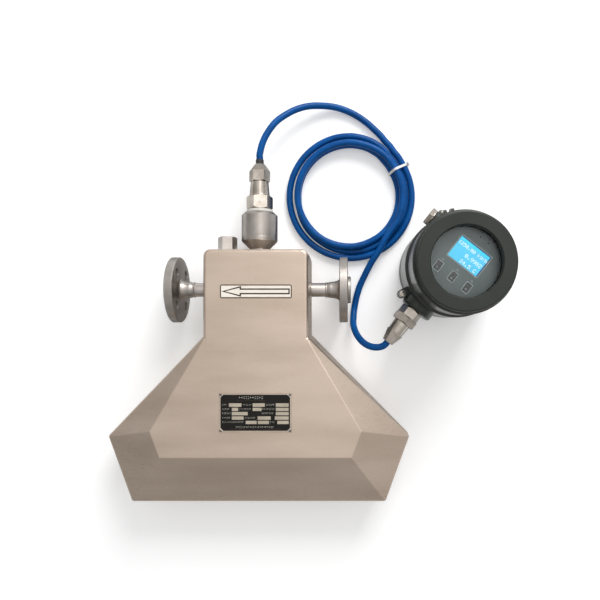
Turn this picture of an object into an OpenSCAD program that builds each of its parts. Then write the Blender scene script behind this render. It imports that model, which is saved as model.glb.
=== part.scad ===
// Coriolis mass flow meter, remote version, laid out on its back: a delta-tube sensor
// in a folded stainless case with two weld-neck flanges, a blue signal cable with a loose
// coil, and a round two-chamber transmitter with a screw-on window cover.
// The sensor's back face lies on z = 0, the flow axis runs along X at y = 0.

/* [Sensor case] */
// Depth of the case from its back face to its front face
case_depth = 96; // [92:1:104]
// Sheet thickness of the case shells
case_wall = 3; // [2:0.5:3.5]
// Width of the neck
neck_w = 145; // [140:1:156]
// Height of the neck's top above the flow axis
neck_top = 54; // [48:1:60]
// Drop from the flow axis to the foot of the neck
neck_foot = 67; // [62:1:72]
// Width across the two side corners
wide_w = 432; // [420:2:450]
// Drop from the flow axis to the side corners
wide_drop = 210; // [204:1:216]
// Drop from the flow axis to the bottom edge
case_drop = 304; // [298:1:316]
// Lean of the lower sides, in degrees
side_lean = 20; // [16:1:24]
// Width of the folded bevel round the lower edges
bevel_run = 70; // [62:1:74]
// Fall of the bevel from the front face to the rim
bevel_fall = 31; // [26:1:34]
// Drop from the flow axis to the upper end of the side ridges
ridge_drop = 198; // [190:1:202]
// Bend radius of the folded edges
bend_r = 4.5; // [4:0.5:8]

/* [Process connections] */
// Distance between the two flange faces
face_to_face = 264; // [256:1:290]
// Flange outer diameter
flange_d = 95; // [90:1:95]
// Thickness of the flange disc
flange_t = 12; // [10:0.5:16]
// Diameter of the raised male face
face_d = 39; // [34:1:44]
// Height of the raised male face
face_t = 4.5; // [2:0.5:6]
// Bolt circle diameter
bolt_pcd = 65; // [62:1:70]
// Bolt hole diameter
bolt_d = 14; // [11:1:16]
// Number of bolt holes
bolt_n = 4; // [4:4:8]
// Length of the tapered hub behind the disc
hub_len = 18; // [14:1:22]
// Diameter of the hub at the disc
hub_d = 34; // [30:1:42]
// Process pipe outer diameter
pipe_d = 20; // [18:0.5:22]
// Flow bore of flanges and pipes
flow_bore = 16; // [12:0.5:17]

/* [Flow tubes] */
// Outer diameter of the two measuring tubes
tube_d = 12; // [10:0.5:13]
// Wall of the measuring tubes
tube_wall = 1; // [0.6:0.1:1.5]
// Distance between the two tubes' centre planes
tube_gap = 36; // [34:1:40]
// Centre-line bend radius of the tubes
tube_bend = 36; // [30:1:40]
// Distance of the manifolds from the middle of the sensor
manifold_x = 52; // [48:0.5:54]
// Outer diameter of the manifold barrels
manifold_d = 26; // [24:0.5:28]

/* [Neck fittings] */
// Diameter of the junction boss on the neck
boss_d = 52; // [46:1:56]
// Height of the junction boss above the neck
boss_h = 58.5; // [56:0.5:68]
// Distance of the vent plug from the boss axis
vent_x = 48; // [46:0.5:50]
// Width across the flats of the vent plug
vent_af = 24; // [20:1:26]
// Width and height of the name plate
name_plate = [95.5, 49.5]; // [40:0.5:110]
// Drop from the flow axis to the middle of the name plate
name_drop = 171.5; // [150:0.5:178]
// Width and height of the flow arrow plate
arrow_plate_size = [99, 19]; // [12:1:110]

/* [Cable and glands] */
// Cable diameter
cable_d = 10; // [8:0.5:10]
// Mean diameter of the coil's outer turn
coil_d = 188; // [184:1:190]
// Width across flats of the sensor gland's body
gland_af = 33; // [30:1:36]
// Width across flats of the transmitter gland's lock nut
tx_gland_af = 33; // [28:1:35]

/* [Transmitter] */
// Transmitter position along the flow axis
tx_x = 278; // [270:1:300]
// Transmitter position across the flow axis
tx_y = 30.6; // [20:0.1:36]
// Turn of the transmitter, in degrees
tx_turn = 38; // [30:1:45]
// Overall height of the transmitter on its rear cover
tx_h = 160; // [155:1:170]
// Diameter of the rear chamber
body_d = 142; // [140:1:148]
// Diameter of the front collar
collar_d = 136; // [134:1:138]
// Diameter of the front cover
cover_d = 130; // [128:1:133]
// Visible diameter of the window
window_d = 92; // [86:1:94]
// Thickness of the window glass
glass_t = 8; // [6:0.5:8]
// Height of the gland axis above the rear cover's face
gland_z = 55; // [50:1:60]
// Width and height of the display's visible field
lcd_field = [48, 32]; // [28:1:50]
// Width and height of one key window
key_field = [8.3, 12.7]; // [6:0.1:14]
// Distance between the key windows
key_pitch = 23.7; // [20:0.1:25]

/* [Hidden] */
$fn = 64;

gap = 0.3;                       // standing clearance between seated pieces
mid_z = case_depth / 2;          // plane of the flow axis and of the case seam
seam_z = 0.15;                   // half the root gap of the case's weld seam

// plan points of the case, right-hand side
foot = [neck_w / 2, -neck_foot];
wide = [wide_w / 2, -wide_drop];
lean_dx = (case_drop - wide_drop) * tan(side_lean);
low = [wide_w / 2 - lean_dx, -case_drop];
bevel_t = (ridge_drop - wide_drop) * tan(side_lean);
ridge_hi = [wide[0] - bevel_run / cos(side_lean) - bevel_t, -ridge_drop];
ridge_lo = [ridge_hi[0] - (case_drop - bevel_run - ridge_drop) * tan(side_lean),
            -case_drop + bevel_run];
bevel_angle = atan(bevel_fall / bevel_run);
rim_z = case_depth - bevel_fall + bend_r * tan(bevel_angle) - bend_r / cos(bevel_angle);

// process line
disc_x = face_to_face / 2 - face_t;      // outer plane of the flange disc
back_x = disc_x - flange_t;              // rear plane of the flange disc
weld_x = back_x - hub_len;               // where the hub meets the pipe
// the hub's profile: a shallow cone that sweeps out into the disc
hub_root = hub_len * 0.75;
hub_cone = pipe_d / 2 + 0.6 + (hub_d - pipe_d) * 0.08;
hub_sweep = [for (a = [0:15:90])
    [hub_cone + (hub_d / 2 - hub_cone) * (1 - cos(a)), back_x - hub_root * (1 - sin(a))]];
stub_x = manifold_x + manifold_d / 2 + 3;
tube_in = tube_d - 2 * tube_wall;
stub_y = -manifold_d / 2 - 3;
tube_corner = [184, -262];
tube_knee = [manifold_x, -75];
front_tube_z = mid_z + tube_gap / 2;
back_tube_z = mid_z - tube_gap / 2;
leg_angle = atan2(tube_corner[1] - tube_knee[1], tube_corner[0] - tube_knee[0]);
tube_route = [[manifold_x, stub_y], tube_knee, tube_corner,
              [-tube_corner[0], tube_corner[1]], [-manifold_x, tube_knee[1]],
              [-manifold_x, stub_y]];

// gland on the junction boss, heights above the top of the neck
boss_x = -1.2;                   // axis of the junction boss, from the middle
boss_foot_d = 28;                // foot of the junction boss, where it enters the neck
cone_h = boss_h * 0.29;          // where the boss's cone reaches its full width
sealing_h = boss_h * 0.38;       // floor of the boss's chamber
gasket_h = boss_h;
body_h = gasket_h + 4;
sleeve_h = body_h + 20;
nut_h = sleeve_h + 21;
seal_h = nut_h + 26;
cable_h = seal_h + 6.5;

// transmitter levels
cover_seat = tx_h - 11.7;                // under side of the front cover's rim
housing_hi = cover_seat - gap;
collar_lo = tx_h - 60;                   // lower end of the front collar
groove_lo = collar_lo - 10;
thread_lo = collar_lo + 12;              // lower end of the front thread
rear_seat = 22.3;                        // upper side of the rear cover's rim
housing_lo = rear_seat + gap;
shelf_lo = 62;                           // wall between the two chambers
shelf_hi = 68;
front_plug_r = collar_d / 2 - 10;        // threaded plug of the front cover
rear_plug_r = body_d / 2 - 9;            // threaded plug of the rear cover
thread_gap = 0.35;
plug_len = 14;
chamber_r = body_d / 2 - 11;
seal_r = 1.5;                            // O-ring section radius
seal_room = 1.8;
glass_lo = tx_h - 8 - glass_t;
panel_z = glass_lo - 10;
panel_t = 2;
panel_r = front_plug_r - 9.5;
board_t = 1.6;
display_board_z = panel_z - 13;
display_board_r = panel_r - 1.5;
main_board_z = shelf_hi + 22;
main_board_r = chamber_r - 10;
pillar_ring = panel_r - 6.5;
lcd_at = [0.9, 12];
keys_y = -22.8;
entry_x = -8;                            // gland axis, across the transmitter
entry_boss_x = -4;                       // middle of the gland boss
entry_face = body_d / 2 + 11;            // gland boss face, from the axis
entry_tip = entry_face + 59;             // mouth of the gland, from the axis
plug_y = 38;
plug_z = 65;
plug_face = body_d / 2 - 5;
lug_at = body_d / 2 + 10;                // ground lug, from the axis
lug_angle = 245;
lug_z = 58;

// cable
cable_r = cable_d / 2;
coil_at = [132, 145.5];
coil_out = coil_d / 2 + cable_r;
coil_in = coil_d / 2 - 25;
tie_angle = 30;
tie_w = 3.6;
coil_shape = [[coil_in, 1.5], [coil_in + 2, 0], [coil_out - 2, 0], [coil_out, 2],
              [coil_out, 8.5], [coil_out - 2, 10.5], [coil_out - 13, 19], [coil_out - 15, 20],
              [coil_in + 8, 20], [coil_in + 5, 18], [coil_in, 9]];
low_z = cable_r + 0.3;
neck_exit = [boss_x, neck_top + cable_h, mid_z];
entry_mouth = [tx_x + entry_x * cos(tx_turn) - entry_tip * sin(tx_turn),
               tx_y - entry_x * sin(tx_turn) - entry_tip * cos(tx_turn), gland_z];
entry_dir = [sin(tx_turn), cos(tx_turn), 0];
lead_in_route = [
    neck_exit, neck_exit + [0, 4, 0], neck_exit + [0, 9, 0], neck_exit + [4, 26, -1.5],
    neck_exit + [11, 42, -5], neck_exit + [22, 59, -10], [35, 262, 32], [51, 273, 25], [68, 280, 18.5],
    [86, 283, 12.5], [104, 283, 8.5], [122, 279, 6.5], [139, 271, low_z + 0.3],
    beside_coil(13, 17, low_z), beside_coil(21, 10.5, low_z), beside_coil(32, 2, low_z),
    beside_coil(44, -3, low_z)
];
tail_route = [
    beside_coil(148, -9, 17.5), beside_coil(156, -1.5, 15.5), beside_coil(163, 8, 11),
    [154, 25, 7], [146.2, 8, low_z], [141, -9.5, low_z], [137.9, -26, low_z + 1],
    [136.5, -38.5, 12], entry_mouth + [-48.6, 24, -34], entry_mouth + [-43.9, 10, -20],
    entry_mouth + [-35.2, -0.8, -9.5], entry_mouth + [-26.5, -6, -3],
    entry_mouth + [-19.5, -7.7, -0.6], entry_mouth + [-13.8, -7.9, 0],
    entry_mouth + [-9.4, -7.1, 0], entry_mouth + [-6.2, -5.9, 0], entry_mouth + [-3.5, -4, 0],
    entry_mouth - 2.6 * entry_dir, entry_mouth - 1.3 * entry_dir, entry_mouth
];

steel = "#b9b4ad";
satin = "#c4b3a3";
machined = "#b4bcc6";
brass = "#c9b79c";
dark = "#3a3e39";
body_green = "#4a4f4b";
board_green = "#2f6b45";
black = "#232427";
blue = "#1f5fa8";

// ---------------------------------------------------------------- shared shapes

function unit(v) = v / norm(v);
// a point at the coil's rim: turn clockwise from +Y, distance outside the rim, height
function beside_coil(turn, out, z) = [coil_at[0] + (coil_out + out) * sin(turn),
                                      coil_at[1] + (coil_out + out) * cos(turn), z];
function inset(a, b, c, d) =
    b + d / sin(acos(unit(a - b) * unit(c - b))) * (unit(a - b) + unit(c - b));

module ring(d_out, d_in, h) {
    difference() {
        cylinder(d = d_out, h = h);
        translate([0, 0, -1]) cylinder(d = d_in, h = h + 2);
    }
}

// hexagonal prism of width af across its flats, corners chamfered at the ends
module hex_bar(af, h, low_chamfer = 0.8, high_chamfer = 0.8) {
    corner = af / sqrt(3);
    flat = af / 2 - 0.3;
    rise = (corner - flat) * 0.55;
    intersection() {
        cylinder(r = corner, h = h, $fn = 6);
        rotate_extrude() polygon([
            [0, 0],
            [low_chamfer > 0 ? flat : corner + 1, 0],
            [corner + (low_chamfer > 0 ? 0 : 1), low_chamfer > 0 ? rise : 0],
            [corner + (high_chamfer > 0 ? 0 : 1), high_chamfer > 0 ? h - rise : h],
            [high_chamfer > 0 ? flat : corner + 1, h],
            [0, h]
        ]);
    }
}

// hexagonal pyramid stump, from width af1 to width af2 across the flats
module hex_taper(af1, af2, h) {
    intersection() {
        taper_slab(af1, af2, h);
        rotate([0, 0, 60]) taper_slab(af1, af2, h);
        rotate([0, 0, 120]) taper_slab(af1, af2, h);
    }
}

module taper_slab(w1, w2, h) {
    translate([w1, 0, 0]) rotate([90, 0, -90]) linear_extrude(height = 2 * w1)
        polygon([[-w1 / 2, 0], [w1 / 2, 0], [w2 / 2, h], [-w2 / 2, h]]);
}

// points of the round bend at corner b between plan points a and c, in n steps
function turned(v, a) = [v[0] * cos(a) - v[1] * sin(a), v[0] * sin(a) + v[1] * cos(a)];
function bend(a, b, c, r, n) = let (
    e1 = unit(a - b),
    e2 = unit(c - b),
    half = acos(e1 * e2) / 2,
    centre = b + unit(e1 + e2) * r / sin(half),
    way = e1[0] * e2[1] - e1[1] * e2[0] > 0 ? -1 : 1
) [for (k = [0:n]) centre + turned(b + e1 * r / tan(half) - centre, way * (180 - 2 * half) * k / n)];

// centre line along plan points at height z, with round bends
function bent_route(p, r, z) = let (last = len(p) - 1) [
    for (v = concat([p[0]], [for (i = [1:last - 1]) each
        bend(p[i - 1], p[i], p[i + 1], r, i == 1 || i == last - 1 ? 4 : 9)], [p[last]]))
    [v[0], v[1], z]
];

// smooth route through hand-set points, each span in n steps
function blend(a, b, c, d, t) = 0.5 * (2 * b + (c - a) * t
    + (2 * a - 5 * b + 4 * c - d) * t * t + (3 * b - a - 3 * c + d) * t * t * t);
function smooth(p, n) = let (last = len(p) - 1) concat(
    [for (i = [0:last - 1]) for (k = [0:n - 1])
        blend(p[max(i - 1, 0)], p[i], p[i + 1], p[min(i + 2, last)], k / n)],
    [p[last]]);
function headings(p) = let (last = len(p) - 1)
    [for (i = [0:last]) unit(p[min(i + 1, last)] - p[max(i - 1, 0)])];
function carry(n, t) = unit(n - (n * t) * t);
function sides(t, i = 1, out = undef) = let (
    list = out == undef ? [carry([0.1, 0.2, 1], t[0])] : out
) i >= len(t) ? list : sides(t, i + 1, concat(list, [carry(list[i - 1], t[i])]));

// ring points of radius r round every point of a route
function rings(route, r, n) = let (t = headings(route), s = sides(t))
    [for (i = [0:len(route) - 1]) for (k = [0:n - 1])
        route[i] + r * (cos(360 * k / n) * s[i] + sin(360 * k / n) * cross(t[i], s[i]))];
function ring_walls(count, n, base, flip) =
    [for (i = [0:count - 2]) for (k = [0:n - 1]) let (
        a = base + i * n + k, b = base + i * n + (k + 1) % n
    ) for (face = [[a, b + n, b], [a, a + n, b + n]])
        flip ? [face[2], face[1], face[0]] : face];

// solid round cord along a route
module cord(route, r, n = 10) {
    count = len(route);
    polyhedron(points = rings(route, r, n), faces = concat(
        ring_walls(count, n, 0, false),
        [[for (k = [0:n - 1]) k]],
        [[for (k = [n - 1:-1:0]) (count - 1) * n + k]]
    ));
}

// hollow round tube along a route
module swept_tube(route, r_out, r_in, n = 16) {
    count = len(route);
    inner = count * n;
    far = (count - 1) * n;
    polyhedron(points = concat(rings(route, r_out, n), rings(route, r_in, n)), faces = concat(
        ring_walls(count, n, 0, false),
        ring_walls(count, n, inner, true),
        [for (k = [0:n - 1]) let (m = (k + 1) % n)
            for (face = [[k, m, inner + m], [k, inner + m, inner + k]]) face],
        [for (k = [0:n - 1]) let (m = (k + 1) % n, a = far + k, b = far + m)
            for (face = [[b, a, inner + a], [b, inner + a, inner + b]]) face]
    ));
}

// children are placed on the neck's top, their axis pointing up the neck
module on_neck(x = 0, h = 0) {
    translate([x, neck_top + h, mid_z]) rotate([-90, 0, 0]) children();
}

module at_transmitter() {
    translate([tx_x, tx_y, 0]) rotate([0, 0, -tx_turn]) children();
}

// children are placed on the gland axis, pointing away from the transmitter
module on_entry(out = 0) {
    at_transmitter() translate([entry_x, -out, gland_z]) rotate([90, 0, 0]) children();
}

// ---------------------------------------------------------------- sensor case

module ball(r) {
    sphere(r = r / cos(180 / $fn));
}

module case_form(r, n) {
    $fn = n;
    edge = neck_w / 2 - bend_r;
    foot_c = inset([-foot[0], foot[1]], foot, wide, bend_r);
    wide_c = inset(foot, wide, low, bend_r);
    low_c = inset(wide, low, [-low[0], low[1]], bend_r);
    fold = bend_r * tan(bevel_angle / 2);
    hull() for (s = [-1, 1], z = [bend_r, case_depth - bend_r]) {
        translate([s * edge, neck_top - bend_r, z]) ball(r);
        translate([s * edge, -neck_foot - 20, z]) ball(r);
    }
    hull() for (s = [-1, 1], up = [0, 1]) {
        z = up == 1 ? case_depth - bend_r : bend_r;
        rim = up == 1 ? rim_z : case_depth - rim_z;
        translate([s * foot_c[0], foot_c[1], z]) ball(r);
        translate([s * (ridge_hi[0] - fold), ridge_hi[1], z]) ball(r);
        translate([s * (ridge_lo[0] - fold), ridge_lo[1] + fold, z]) ball(r);
        translate([s * wide_c[0], wide_c[1], rim]) ball(r);
        translate([s * low_c[0], low_c[1], rim]) ball(r);
    }
}

module case_openings() {
    translate([0, 0, mid_z]) rotate([0, 90, 0])
        cylinder(d = pipe_d + 2 * gap, h = neck_w + 20, center = true);
    on_neck(boss_x, -12) cylinder(d = boss_foot_d + 2 * gap, h = 20);
    on_neck(-vent_x, -12) cylinder(d = 22 + 2 * gap, h = 20);
}

module case_front() color(satin) difference() {
    case_form(bend_r, 20);
    case_form(bend_r - case_wall, 12);
    translate([-wide_w, -case_drop - 50, -1])
        cube([2 * wide_w, case_drop + 150, mid_z + 1 + seam_z]);
    case_openings();
    for (x = [-1, 1], y = [-1, 1]) rivet_at(x, y) translate([0, 0, -2])
        cylinder(d = 2.6, h = 4, $fn = 16);
}

module case_back() color(satin) difference() {
    case_form(bend_r, 20);
    case_form(bend_r - case_wall, 12);
    translate([-wide_w, -case_drop - 50, mid_z - seam_z])
        cube([2 * wide_w, case_drop + 150, mid_z + 10]);
    case_openings();
}

module rivet_at(x, y) {
    translate([x * (name_plate[0] / 2), -name_drop + y * (name_plate[1] / 2), case_depth])
        children();
}

// ---------------------------------------------------------------- process line

// children are placed on the flow axis, pointing out of the given side
module on_line(side, x = 0) {
    translate([side * x, 0, mid_z]) rotate([0, side * 90, 0]) children();
}

module flange(side) color(machined) on_line(side) difference() {
    rotate_extrude($fn = 96) polygon([
        [flow_bore / 2, weld_x], [pipe_d / 2 + 0.6, weld_x], for (p = hub_sweep) p,
        [flange_d / 2 - 1, back_x], [flange_d / 2, back_x + 1],
        [flange_d / 2, disc_x - 1], [flange_d / 2 - 1, disc_x], [face_d / 2, disc_x],
        [face_d / 2, face_to_face / 2 - 0.5], [face_d / 2 - 0.5, face_to_face / 2],
        [flow_bore / 2, face_to_face / 2]
    ]);
    for (i = [0:bolt_n - 1]) rotate([0, 0, (i + 0.5) * 360 / bolt_n])
        translate([bolt_pcd / 2, 0, back_x - 1]) cylinder(d = bolt_d, h = flange_t + 2);
}

module line_pipe(side) color(steel) on_line(side) rotate_extrude($fn = 64) polygon([
    [flow_bore / 2, stub_x], [pipe_d / 2, stub_x], [pipe_d / 2, neck_w / 2 + gap],
    [pipe_d / 2 + 1.8, neck_w / 2 + gap], [pipe_d / 2 + 1.5, neck_w / 2 + 1.6],
    [pipe_d / 2, neck_w / 2 + 2.4], [pipe_d / 2, weld_x - 3],
    [pipe_d / 2 + 1.2, weld_x - 2], [pipe_d / 2 + 1.2, weld_x - 0.6], [pipe_d / 2 + 0.4, weld_x],
    [flow_bore / 2, weld_x]
]);

module manifold(side) color(steel) translate([side * manifold_x, 0, 0]) difference() {
    union() {
        translate([0, 0, back_tube_z - 10])
            cylinder(d = manifold_d, h = tube_gap + 20);
        translate([0, 0, mid_z]) rotate([0, side * 90, 0])
            cylinder(d = pipe_d + 2, h = stub_x - manifold_x);
        for (z = [back_tube_z, front_tube_z]) translate([0, 0, z]) rotate([90, 0, 0])
            cylinder(d = tube_d + 3, h = -stub_y);
    }
    translate([0, 0, back_tube_z - 6]) cylinder(d = flow_bore, h = tube_gap + 12);
    translate([0, 0, mid_z]) rotate([0, side * 90, 0])
        cylinder(d = flow_bore, h = stub_x - manifold_x + 1);
    for (z = [back_tube_z, front_tube_z]) translate([0, 0, z]) rotate([90, 0, 0])
        cylinder(d = tube_in, h = 1 - stub_y);
}

module flow_tube(z) color(steel)
    swept_tube(bent_route(tube_route, tube_bend, z), tube_d / 2, tube_in / 2);

module inlet_flange() flange(1);
module outlet_flange() flange(-1);
module inlet_pipe() line_pipe(1);
module outlet_pipe() line_pipe(-1);
module inlet_manifold() manifold(1);
module outlet_manifold() manifold(-1);
module front_flow_tube() flow_tube(front_tube_z);
module back_flow_tube() flow_tube(back_tube_z);

module brace_plates() color(steel) for (s = [-1, 1])
    translate([s * manifold_x, -36, mid_z]) difference() {
        cube([tube_d + 8, 2, tube_gap + tube_d + 6], center = true);
        for (z = [-1, 1]) translate([0, 2, z * tube_gap / 2]) rotate([90, 0, 0])
            cylinder(d = tube_d + 0.1, h = 4);
    }

// coil on the back tube; x runs along the tube, the tube's axis lies at z = 0
module coil_unit(w) {
    seat = tube_d / 2;
    difference() {
        union() {
            translate([-w / 2, -w / 2, 1]) cube([w, w, seat + 1.5]);
            rotate_extrude() polygon([
                [w * 0.28, seat + 2], [w * 0.5, seat + 2], [w * 0.5, seat + 4],
                [w * 0.42, seat + 4.4], [w * 0.42, tube_gap / 2], [w * 0.5, tube_gap / 2 + 0.4],
                [w * 0.5, tube_gap / 2 + 2], [w * 0.28, tube_gap / 2 + 2]
            ]);
        }
        translate([-w, 0, 0]) rotate([0, 90, 0]) cylinder(d = tube_d + 0.1, h = 2 * w);
    }
}

// magnet cup on the front tube, its axis lies at z = 0 and the cup opens downward
module magnet_unit(w) {
    seat = tube_d / 2;
    difference() {
        union() {
            translate([-w / 2, -w / 2, -seat - 2.5]) cube([w, w, seat + 1.5]);
            translate([0, 0, -tube_gap / 2 - 1]) ring(w * 1.44, w * 1.2, tube_gap / 2 - seat - 1);
            translate([0, 0, -seat - 4]) cylinder(d = w * 1.44, h = 2);
            translate([0, 0, -tube_gap / 2 - 1]) cylinder(d = w * 0.4, h = tube_gap / 2 - seat - 1);
        }
        translate([-w, 0, 0]) rotate([0, 90, 0]) cylinder(d = tube_d + 0.1, h = 2 * w);
    }
}

module on_leg(side, z) {
    mid = (tube_knee + tube_corner) / 2;
    translate([side * mid[0], mid[1], z]) rotate([0, 0, side * leg_angle]) children();
}

module drive_coil() color("#b87333") translate([0, tube_corner[1], back_tube_z]) coil_unit(18);
module drive_magnet() color(steel) translate([0, tube_corner[1], front_tube_z]) magnet_unit(18);
module pickoff_coils() color("#b87333") for (s = [-1, 1]) on_leg(s, back_tube_z) coil_unit(14);
module pickoff_magnets() color(steel) for (s = [-1, 1]) on_leg(s, front_tube_z) magnet_unit(14);

module temperature_sensor() color(brass) translate([manifold_x, -55, back_tube_z]) {
    difference() {
        translate([-12, -6, -5]) cube([12, 12, 10]);
        rotate([90, 0, 0]) cylinder(d = tube_d + 0.1, h = 20, center = true);
    }
    translate([-10, 12, 0]) rotate([90, 0, 0]) cylinder(d = 4, h = 24);
}

// ---------------------------------------------------------------- neck fittings

module vent_boss() color(steel) on_neck(-vent_x) rotate_extrude() polygon([
    [7.2, -9], [14, -9], [14, -case_wall - gap], [11, -case_wall - gap], [11, gap], [7.2, gap]
]);

module vent_plug() color(steel) on_neck(-vent_x, gap) {
    rotate([0, 0, 9.5]) hex_bar(vent_af, 22.6);
    translate([0, 0, -8]) cylinder(d = 14, h = 9);
}

module junction_boss() color(steel) on_neck(boss_x) rotate_extrude($fn = 96) polygon([
    [8, -7], [boss_foot_d / 2, -7], [boss_foot_d / 2, 5], [boss_d / 2 - 0.5, cone_h - 0.8],
    [boss_d / 2, cone_h], [boss_d / 2, cone_h + 4.3], [boss_d / 2 - 0.25, cone_h + 4.7],
    [boss_d / 2, cone_h + 5.1],
    [boss_d / 2, boss_h - 4.5], [boss_d / 2 - 4.6, boss_h], [10, boss_h], [10, boss_h - 8],
    [19.5, boss_h - 8], [19.5, sealing_h], [8, sealing_h]
]);

module feedthrough() color(brass) on_neck(boss_x, sealing_h) {
    cylinder(r = 19.2, h = 4);
    for (i = [0:5]) rotate([0, 0, 60 * i]) translate([5.5, 0, -6]) cylinder(d = 1.6, h = 16, $fn = 24);
}

module gland_gasket() color("#e6e2da") on_neck(boss_x, gasket_h) ring(38, 20.6, body_h - gasket_h);

module gland_body() color(brass) on_neck(boss_x) difference() {
    union() {
        translate([0, 0, body_h + 1]) rotate([0, 0, 12])
            hex_bar(gland_af, sleeve_h - body_h - 1);
        translate([0, 0, body_h]) cylinder(d = gland_af - 1.5, h = 2);
        translate([0, 0, gasket_h - 9]) cylinder(d = 19.4, h = 14);
        translate([0, 0, sleeve_h - 1]) cylinder(d = 17, h = 17);
    }
    translate([0, 0, gasket_h - 10]) cylinder(d = cable_d + 1, h = 60);
    // seal wire hole in the front flat
    translate([0, 0, body_h + 9]) rotate([90, 0, 12])
        translate([-1.5, 0, gland_af / 2 - 2.5]) cylinder(d = 1.8, h = 4, $fn = 16);
}

module gland_sleeve() color(brass) on_neck(boss_x, sleeve_h) rotate_extrude() polygon([
    [8.8, 0], [14.9, 0], [14.9, 1.2], [14.5, 1.8], [12.9, nut_h - sleeve_h - 0.6],
    [12.3, nut_h - sleeve_h], [8.8, nut_h - sleeve_h]
]);

module gland_clamp_nut() color(brass) on_neck(boss_x, nut_h) difference() {
    union() {
        hex_bar(26.5, 15.5, 0.8, 0);
        translate([0, 0, 15.5]) hex_taper(26.5, 13, 10.3);
    }
    translate([0, 0, -1]) cylinder(r = 9.5, h = 13);
    cylinder(r = 6.15, h = 40);
}

module gland_seal() color(black) on_neck(boss_x, nut_h) {
    translate([0, 0, 11.7]) cylinder(r = 5.85, h = cable_h - nut_h - 11.7);
    translate([0, 0, 8.7]) cylinder(r = 9, h = 3);
}

module arrow_plate() color("#efe2d2") translate([0.8, -4.5, case_depth])
    linear_extrude(height = 0.6) square(arrow_plate_size, center = true);

module name_plate_sheet() color(black) translate([0, -name_drop, case_depth])
    linear_extrude(height = 0.8) difference() {
        square([name_plate[0] + 5, name_plate[1] + 5], center = true);
        for (x = [-1, 1], y = [-1, 1])
            translate([x * name_plate[0] / 2, y * name_plate[1] / 2]) circle(d = 2.6, $fn = 32);
    }

module plate_rivets() color(steel) for (x = [-1, 1], y = [-1, 1]) rivet_at(x, y)
    rotate_extrude($fn = 32) polygon([
        [0, -1.7], [1.1, -1.7], [1.1, 0.8], [1.9, 0.8], [1.8, 1.2], [1.2, 1.7], [0, 1.85]
    ]);

// ---------------------------------------------------------------- transmitter

module housing() color(body_green) at_transmitter() difference() {
    union() {
        rotate_extrude($fn = 128) polygon([
            [0, housing_lo], [body_d / 2 - 1, housing_lo], [body_d / 2, housing_lo + 1],
            [body_d / 2, groove_lo - 1.5], [body_d / 2 - 1.5, groove_lo],
            [collar_d / 2 - 2, groove_lo + 1], [collar_d / 2 - 2, collar_lo - 1],
            [collar_d / 2, collar_lo], [collar_d / 2, housing_hi - 1],
            [collar_d / 2 - 1, housing_hi], [0, housing_hi]
        ]);
        // gland boss
        translate([entry_boss_x, -chamber_r, gland_z]) rotate([90, 0, 0]) rotate_extrude()
            polygon([
                [0, 0], [24, 0], [24, entry_face - chamber_r - 4], [23, entry_face - chamber_r - 1.2],
                [21, entry_face - chamber_r], [0, entry_face - chamber_r]
            ]);
        // boss of the blank plug
        translate([-45, plug_y, plug_z]) rotate([0, -90, 0]) rotate_extrude() polygon([
            [0, 0], [17, 0], [17, plug_face - 47], [15, plug_face - 45], [0, plug_face - 45]
        ]);
        // ground lug
        rotate([0, 0, lug_angle]) translate([0, 0, lug_z - 14]) linear_extrude(height = 14) {
            translate([lug_at, 0]) circle(d = 13);
            translate([chamber_r + 5, -6.5]) square([lug_at - chamber_r - 5, 13]);
        }
        // two ears for the cover lock
        for (a = [136, 144]) rotate([0, 0, a]) translate([0, 2.5, 0]) rotate([90, 0, 0])
            translate([collar_d / 2, collar_lo]) linear_extrude(height = 5) polygon([
                [-6, 1], [4, 1], [8.5, 5], [8.5, 13], [6, 16], [-6, 16]
            ]);
    }
    // rear chamber
    rotate_extrude($fn = 128) polygon([
        [0, 0], [rear_plug_r + seal_room, 0], [rear_plug_r + seal_room, housing_lo + 4.3],
        [rear_plug_r + thread_gap, housing_lo + 4.3], [rear_plug_r + thread_gap, housing_lo + plug_len],
        [chamber_r, housing_lo + plug_len], [chamber_r, shelf_lo], [0, shelf_lo]
    ]);
    // front chamber
    rotate_extrude($fn = 128) polygon([
        [0, shelf_hi], [chamber_r, shelf_hi], [chamber_r, thread_lo],
        [front_plug_r + thread_gap, thread_lo],
        [front_plug_r + thread_gap, housing_hi - 4.3], [front_plug_r + seal_room, housing_hi - 4.3],
        [front_plug_r + seal_room, tx_h], [0, tx_h]
    ]);
    translate([26, 30, shelf_lo - 1]) cylinder(d = 12, h = 9);
    translate([entry_x, -50, gland_z]) rotate([90, 0, 0]) cylinder(d = 20, h = 40);
    translate([-45, plug_y, plug_z]) rotate([0, -90, 0]) cylinder(d = 20, h = 30);
    rotate([0, 0, lug_angle]) translate([lug_at, 0, lug_z - 11]) cylinder(d = 5, h = 20);
    rotate([0, 0, 140]) translate([collar_d / 2 + 5, 0, collar_lo + 9]) rotate([90, 0, 0])
        cylinder(d = 3.4, h = 40, center = true, $fn = 32);
}

module front_cover() color(dark) at_transmitter() rotate_extrude($fn = 128) polygon([
    [front_plug_r - 8, cover_seat - plug_len], [front_plug_r, cover_seat - plug_len],
    [front_plug_r, cover_seat - 3.8], [front_plug_r - seal_room, cover_seat - 3.8],
    [front_plug_r - seal_room, cover_seat], [cover_d / 2 - 0.6, cover_seat],
    [cover_d / 2, cover_seat + 0.6], [cover_d / 2, tx_h - 2.5], [cover_d / 2 - 0.7, tx_h - 0.8],
    [cover_d / 2 - 2.5, tx_h], [window_d / 2 + 1.5, tx_h], [window_d / 2, tx_h - 1.5],
    [window_d / 2, tx_h - 8], [front_plug_r - 8, tx_h - 8]
]);

module window_glass() color("#cfe3e6", 0.35) at_transmitter()
    translate([0, 0, glass_lo]) cylinder(r = front_plug_r - 8 - gap, h = glass_t, $fn = 128);

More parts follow.
